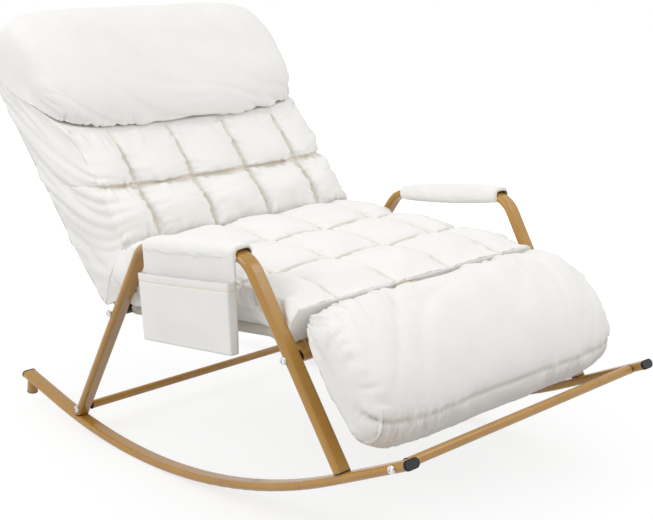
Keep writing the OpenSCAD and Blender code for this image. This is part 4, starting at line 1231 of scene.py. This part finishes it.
class StretchSlings(bpy.types.Operator):
    """Stretches the seat and back slings between the tubes, under the mattress"""
    bl_idname = "rocker.stretch_slings"
    bl_label = "Stretch the slings"
    grid = (110, 60)
    hem_grid = (90, 24)
    # How far the cloth turns round the side tubes, and round the front bar
    wrap = math.radians(250)
    hem_start = math.radians(100)
    hem_end = math.radians(-230)
    # How far the cloth sags, with fine ripples beside the tubes
    sag = 0.002
    sag_power = 0.6
    ripple = 0.0008
    ripple_across = 9
    ripple_along = 40
    ripple_seed = 2.2
    ripple_power = 3
    # Distances from the hip, the front bar and the side tubes to the cloth's edges
    seat_hip_gap = 0.03
    back_hip_gap = 0.075
    bar_gap = 0.024
    side_gap = 0.0235
    knee_steps = 8
    slope_step = 0.01

    def execute(self, context):
        lines = ChairLines(context.scene)
        s = lines.sizes
        cloth = context.scene.rocker_covers.cloth
        bend = s.knee_bend * math.tan(s.knee_angle / 2)
        seat = [Vector((s.hip_x + lines.hip_tangent + self.seat_hip_gap, s.seat_height))]
        seat += arc_points(lines.on_knee(bend, -s.knee_bend), s.knee_bend, math.pi / 2,
                           math.pi / 2 - s.knee_angle, self.knee_steps)
        seat.append(lines.on_knee(s.knee_length - self.bar_gap, 0))
        self.sling(lines, cloth, seat, "seat_sling_cloth", "seat_sling", "seat_frame")
        self.hem(lines, cloth)
        back = [lines.on_back(lines.hip_tangent + self.back_hip_gap, 0),
                lines.on_back(s.back_length - s.top_bend, 0)]
        self.sling(lines, cloth, back, "back_sling_cloth", "back_sling", "back_frame")
        return {"FINISHED"}

    def sling(self, lines, cloth, line, name, node, tubes):
        """Cloth stretched over a line of the side view, wrapped round the side tubes"""
        half = lines.sizes.tube_y
        radius = lines.sizes.tube / 2 + cloth
        at, run = polyline(line)
        flat = half + self.wrap * radius

        def shape(u, v):
            across = (2 * u - 1) * flat
            ahead = at(min(1, v + self.slope_step)) - at(max(0, v - self.slope_step))
            up = Vector((-ahead.y, ahead.x)).normalized()
            if up.y < 0:
                up = -up
            if abs(across) <= half:
                k = across / half
                drop = self.sag * (1 - k * k) * math.sin(math.pi * v) ** self.sag_power
                ripple = self.ripple * abs(k) ** self.ripple_power * noise.noise(
                    Vector((across * self.ripple_across, v * self.ripple_along, self.ripple_seed)))
                return lines.place(at(v) + up * (radius - drop + ripple), across)
            turn = (abs(across) - half) / radius
            y = half + radius * math.sin(turn)
            return lines.place(at(v) + up * (radius * math.cos(turn)), math.copysign(y, across))

        piece = cloth_grid(name, self.grid, shape, "sling_cloth", cloth)
        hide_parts(node)

    def hem(self, lines, cloth):
        """The seat sling's front end, wrapped round the bar between the side tubes"""
        s = lines.sizes
        half = s.tube_y - s.tube / 2 - self.side_gap
        radius = s.bar / 2 + cloth

        def shape(u, v):
            turn = mix(self.hem_start, self.hem_end, v)
            out = math.cos(turn) * lines.knee_dir + math.sin(turn) * lines.knee_norm
            return lines.place(lines.on_knee(s.knee_length, 0) + radius * out, (2 * u - 1) * half)

        piece = cloth_grid("seat_sling_hem", self.hem_grid, shape, "sling_cloth", cloth)


class CoverArms(bpy.types.Operator):
    """Slips a padded sleeve over each armrest"""
    bl_idname = "rocker.cover_arms"
    bl_label = "Cover the armrests"
    around = 64
    along = 90
    # The sleeve is turned in at its ends, down to this height above the tube
    inner_wall = 0.0006
    cloth = 0.0008
    end_share = 0.012
    flat_sharpness = 6
    # Soft folds, a little different on the two sides
    fold = 0.0007
    fold_low = -0.001
    fold_count = 9
    fold_twist = 0.8
    fold_slide = 0.5
    fold_seeds = {-1: 5, 1: 8}
    end_mark = 0.35
    end_mark_width = 0.01

    def execute(self, context):
        lines = ChairLines(context.scene)
        covers = context.scene.rocker_covers
        for side, name in ((-1, "right_arm_cover"), (1, "left_arm_cover")):
            self.sleeve(lines, covers, side, name)
        return {"FINISHED"}

    def sleeve_point(self, lines, covers, side, t, wall, a):
        """A point at a share of the sleeve's length and an angle round the armrest"""
        s = lines.sizes
        n = turned(a)
        off = s.arm_tube_thickness / 2 + wall
        lift = 0.0
        if wall > self.inner_wall:
            lift = covers.cover_lift
            ends = 1 - math.exp(-min(t, 1 - t) / self.end_share)
            fold = self.fold * folds(t * self.fold_count + self.fold_twist * math.sin(a),
                                     a * self.fold_slide, self.fold_seeds[side])
            off += covers.cover_swell * math.sin(math.pi * t) ** SLEEVE_POWER
            off += max(self.fold_low, fold) * ends
        flat = (s.arm_tube_width - s.arm_tube_thickness) / 2
        y = math.copysign(flat, n.x) * min(1, abs(n.x) * self.flat_sharpness) + off * n.x
        z = off * n.y + lift + s.arm_height - s.splay_height
        out = s.half_gauge + y * math.cos(s.splay) + z * math.sin(s.splay)
        up = s.splay_height - y * math.sin(s.splay) + z * math.cos(s.splay)
        return lines.place(Vector(((t - 0.5) * covers.cover_length + s.arm_middle, up)), side * out)

    def sleeve(self, lines, covers, side, name):
        """A closed tube of padded cloth round the flat-oval armrest"""
        profile = [(0.0, self.inner_wall), (0.0, covers.cover_wall)]
        profile += [(i / self.along, covers.cover_wall) for i in range(self.along + 1)]
        profile.append((1.0, self.inner_wall))
        points, cells = [], []
        for t, wall in profile:
            for k in range(self.around):
                a = 2 * math.pi * k / self.around
                points.append(self.sleeve_point(lines, covers, side, t, wall, a))
                cells.append((t, k / self.around, 0))
        faces = []
        for start in range(0, len(points) - self.around, self.around):
            for k in range(self.around):
                beside = (k + 1) % self.around
                faces.append((start + k, start + beside, start + self.around + beside,
                              start + self.around + k))
        piece = new_piece(name + "_cloth", points, faces, finish("cushion_cloth"),
                          cells)
        thicken(piece, self.cloth, -1)
        mark_seam(piece, self.end_mark, self.end_mark_width, lambda cell: min(cell.x, 1 - cell.x))
        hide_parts(name)


class HangPocket(bpy.types.Operator):
    """Hangs the panel and its pouch from the right armrest"""
    bl_idname = "rocker.hang_pocket"
    bl_label = "Hang the side pocket"
    panel_grid = (70, 44)
    panel_cloth = 0.0013
    pouch_grid = (96, 60)
    pouch_cloth = 0.0011
    # The cloth comes off the padded sleeve and hangs inwards below
    sleeve_gap = 0.0003
    hang_share = 0.85
    hang_power = 1.5
    panel_start = 0.002
    panel_inset = 0.0009
    panel_wave = 0.0009
    panel_waves = (5, 4, 7.7)
    # The pouch stands off the panel, slants at its rear edge and is soft in front
    least_depth = 0.0004
    most_past = 0.006
    slant_top = 0.7
    slant_more = 0.6
    side_power = 1.2
    corner = 0.012
    belly = 0.0026
    belly_share = 0.94
    soft = 0.0012
    soft_waves = (4.2, 3.1, 1.3)
    mouth_gap = 0.0012
    mouth_power = 3
    stitch = 0.0007
    stitch_width = 0.0016
    stitch_mark = 0.5
    stitch_mark_share = 0.008

    def execute(self, context):
        lines = ChairLines(context.scene)
        covers = context.scene.rocker_covers
        s = lines.sizes
        self.lines, self.covers = lines, covers
        self.panel_y = s.half_gauge + (s.arm_height - s.splay_height) * math.tan(s.splay) \
            + s.arm_tube_width / 2 + self.sleeve_gap + covers.cover_wall
        piece = cloth_grid("pocket_panel_cloth", self.panel_grid, self.panel, "cushion_cloth",
                           self.panel_cloth)
        reach, run = covers.cover_length / 2, covers.pocket_height + covers.pocket_depth
        piece = cloth_grid("side_pocket_cloth", self.pouch_grid, self.pouch, "cushion_cloth",
                           self.pouch_cloth)
        mark_seam(piece, self.stitch_mark, self.stitch_mark_share,
                  lambda cell: cell.y - covers.hem / run)
        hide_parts("side_pocket")
        return {"FINISHED"}

    def at(self, x, drop, y):
        """A place along the armrest, down from it and out from the chair's middle"""
        s, c = self.lines.sizes, self.covers
        t = min(1.0, max(0.0, x / c.cover_length + 0.5))
        hang = self.hang_share * c.cover_swell * math.sin(math.pi * t) ** SLEEVE_POWER \
            * max(0.0, 1 - drop / c.pocket_drop) ** self.hang_power
        side_view = Vector((s.arm_middle + x - drop * math.sin(s.lean),
                            s.arm_height - drop * math.cos(s.lean)))
        return self.lines.place(side_view, -(y + hang))

    def panel(self, u, v):
        c = self.covers
        wave = self.panel_wave * soft_noise(u, v, self.panel_waves)
        return self.at((u - 0.5) * c.cover_length, mix(self.panel_start, c.pocket_drop, v),
                       self.panel_y - self.panel_inset + wave * v)

    def pouch(self, u, v):
        """Front of the pouch, whose sides and bottom turn back to the panel"""
        c = self.covers
        reach = c.cover_length / 2
        across = (2 * u - 1) * (reach + c.pocket_depth)
        x = math.copysign(min(abs(across), reach), across)
        x += c.pocket_set_in * (self.slant_top + self.slant_more * v) * (1 - x / reach) / 2
        back = max(0.0, abs(across) - reach)
        fall = v * (c.pocket_height + c.pocket_depth)
        under = max(0.0, fall - c.pocket_height)
        deep = c.pocket_depth * (1 - (back / c.pocket_depth) ** self.side_power)
        if under:
            deep = min(deep, c.pocket_depth - under)
        rounded = max(0.0, abs(across) - (reach - self.corner)) / (self.corner + c.pocket_depth)
        deep += self.belly * math.sin(math.pi * u) * math.sin(math.pi * v * self.belly_share)
        deep += self.soft * soft_noise(u, v, self.soft_waves) * (1 - rounded)
        deep += self.mouth_gap * math.sin(math.pi * u) * (1 - v) ** self.mouth_power
        deep -= self.stitch * math.exp(-((fall - c.hem) / self.stitch_width) ** 2)
        off = min(max(self.least_depth, deep) + CLOTH_GAP, c.pocket_depth + self.most_past)
        drop = c.pocket_drop - c.pocket_height + min(fall, c.pocket_height)
        return self.at(x, drop, self.panel_y + off)


# The studio

def lamp(name, place, target, size, power):
    data = bpy.data.lights.new(name, "AREA")
    data.shape, data.size, data.energy = "DISK", size, power
    light = bpy.data.objects.new(name, data)
    light.location = place
    light.rotation_euler = (Vector(target) - Vector(place)).to_track_quat("-Z", "Y").to_euler()
    bpy.context.scene.collection.objects.link(light)


def seen_rays(tree):
    """1 for rays from the camera and those seen in reflections or through glass"""
    rays = node(tree, "ShaderNodeLightPath", (-900, 0))
    seen = node(tree, "ShaderNodeMath", (-650, 0), operation="MAXIMUM")
    more = node(tree, "ShaderNodeMath", (-450, 0), operation="MAXIMUM")
    tree.links.new(rays.outputs["Is Camera Ray"], seen.inputs[0])
    tree.links.new(rays.outputs["Is Glossy Ray"], seen.inputs[1])
    tree.links.new(seen.outputs[0], more.inputs[0])
    tree.links.new(rays.outputs["Is Transmission Ray"], more.inputs[1])
    return more.outputs[0]


# The floor's shade where other things see it and where the camera sees it, and its glow, which
# grows with the distance from the chair
FLOOR_SHADE = (0.5, 0.5, 0.5, 1)
FLOOR_SEEN_SHADE = (0.3, 0.3, 0.3, 1)
FLOOR_GLOW = {"From_Min": 0.9, "From_Max": 2.2, "To_Min": 0.74, "To_Max": 1.05}
# The width of the camera's sensor in millimetres, and how far it sees in metres
SENSOR_WIDTH = 36
FAR_CLIP = 100


def floor_material():
    """White floor that keeps the object's soft shadow and is white where no shadow falls"""
    material, tree, shader = new_material("studio_floor")
    set_inputs(shader, Roughness=0.9, Specular_IOR_Level=0, Emission_Color=(1, 1, 1, 1))
    seen = seen_rays(tree)
    tint = node(tree, "ShaderNodeMix", (-250, 300), data_type="RGBA")
    set_inputs(tint, A=FLOOR_SHADE, B=FLOOR_SEEN_SHADE)
    tree.links.new(seen, tint.inputs["Factor"])
    tree.links.new(tint.outputs["Result"], shader.inputs["Base Color"])
    place = node(tree, "ShaderNodeTexCoord", (-1300, -200))
    reach = node(tree, "ShaderNodeVectorMath", (-1100, -200), operation="LENGTH")
    span = node(tree, "ShaderNodeMapRange", (-900, -200))
    set_inputs(span, **FLOOR_GLOW)
    lift = node(tree, "ShaderNodeMath", (-250, -200), operation="MULTIPLY")
    tree.links.new(place.outputs["Object"], reach.inputs[0])
    tree.links.new(reach.outputs["Value"], span.inputs["Value"])
    tree.links.new(span.outputs["Result"], lift.inputs[0])
    tree.links.new(seen, lift.inputs[1])
    tree.links.new(lift.outputs[0], shader.inputs["Emission Strength"])
    return material


def white_world(scene, strength):
    """Even light, seen as white by the camera and in reflections"""
    world = bpy.data.worlds.new("studio")
    scene.world = world
    world.use_nodes = True
    tree = world.node_tree
    back = tree.nodes["Background"]
    set_inputs(back, Color=(1, 1, 1, 1))
    span = node(tree, "ShaderNodeMapRange", (-250, 0))
    set_inputs(span, To_Min=strength, To_Max=1)
    tree.links.new(seen_rays(tree), span.inputs["Value"])
    tree.links.new(span.outputs["Result"], back.inputs["Strength"])


class SetStudio(bpy.types.Operator):
    """Sets the floor, the lamps and the camera at the photograph's viewing angle"""
    bl_idname = "rocker.set_studio"
    bl_label = "Set the studio"

    def execute(self, context):
        scene, s = context.scene, context.scene.rocker_studio
        half = s.floor_size / 2
        mesh = bpy.data.meshes.new("studio_floor")
        mesh.from_pydata([(-half, -half, 0), (half, -half, 0), (half, half, 0),
                          (-half, half, 0)], [], [(0, 1, 2, 3)])
        mesh.materials.append(floor_material())
        floor = bpy.data.objects.new("studio_floor", mesh)
        scene.collection.objects.link(floor)
        white_world(scene, s.sky)
        lamp("key", s.key_place, s.lit, s.key_size, s.key)
        lamp("fill", s.fill_place, s.lit, s.fill_size, s.fill)
        camera = bpy.data.cameras.new("camera")
        camera.lens, camera.sensor_width = s.lens, SENSOR_WIDTH
        camera.clip_end = FAR_CLIP
        eye = bpy.data.objects.new("camera", camera)
        scene.collection.objects.link(eye)
        scene.camera = eye
        back = (Vector(s.camera) - Vector(s.target)).normalized()
        up = Vector((math.sin(s.tilt), 0, math.cos(s.tilt)))
        right = up.cross(back).normalized()
        turn = Matrix((right, back.cross(right), back)).transposed()
        eye.matrix_world = Matrix.Translation(Vector(s.camera)) @ turn.to_4x4()
        scene.view_settings.view_transform = "Standard"
        return {"FINISHED"}


class RockerPanel(bpy.types.Panel):
    """Lists the steps that dress the rocker, and its sizes"""
    bl_idname = "VIEW3D_PT_rocker"
    bl_label = "Lounge rocker"
    bl_space_type = "VIEW_3D"
    bl_region_type = "UI"
    bl_category = "Rocker"

    def draw(self, context):
        for step in STEPS:
            self.layout.operator(step.bl_idname)
        for key in GROUPS:
            group = getattr(context.scene, key)
            box = self.layout.box()
            for name in group.bl_rna.properties.keys():
                if name not in ("rna_type", "name"):
                    box.prop(group, name)


STEPS = (PaintFrame, FinishFittings, SewBackPad, SewSeatPad, SewHeadRoll, SewLegRoll,
         SewHood, StretchSlings, CoverArms, HangPocket, SetStudio)
GROUPS = {"rocker_lines": RockerLineSizes, "rocker_mattress": MattressSizes,
          "rocker_covers": CoverSizes, "rocker_finishes": RockerFinishes,
          "rocker_studio": StudioSizes}


def register():
    for name, group in GROUPS.items():
        bpy.utils.register_class(group)
        setattr(bpy.types.Scene, name, PointerProperty(type=group))
    for kind in (*STEPS, RockerPanel):
        bpy.utils.register_class(kind)


def unregister():
    for kind in (RockerPanel, *reversed(STEPS)):
        bpy.utils.unregister_class(kind)
    for name, group in reversed(GROUPS.items()):
        delattr(bpy.types.Scene, name)
        bpy.utils.unregister_class(group)


def main():
    register()
    for step in STEPS:
        family, name = step.bl_idname.split(".")
        getattr(getattr(bpy.ops, family), name)()


if __name__ == "__main__":
    main()
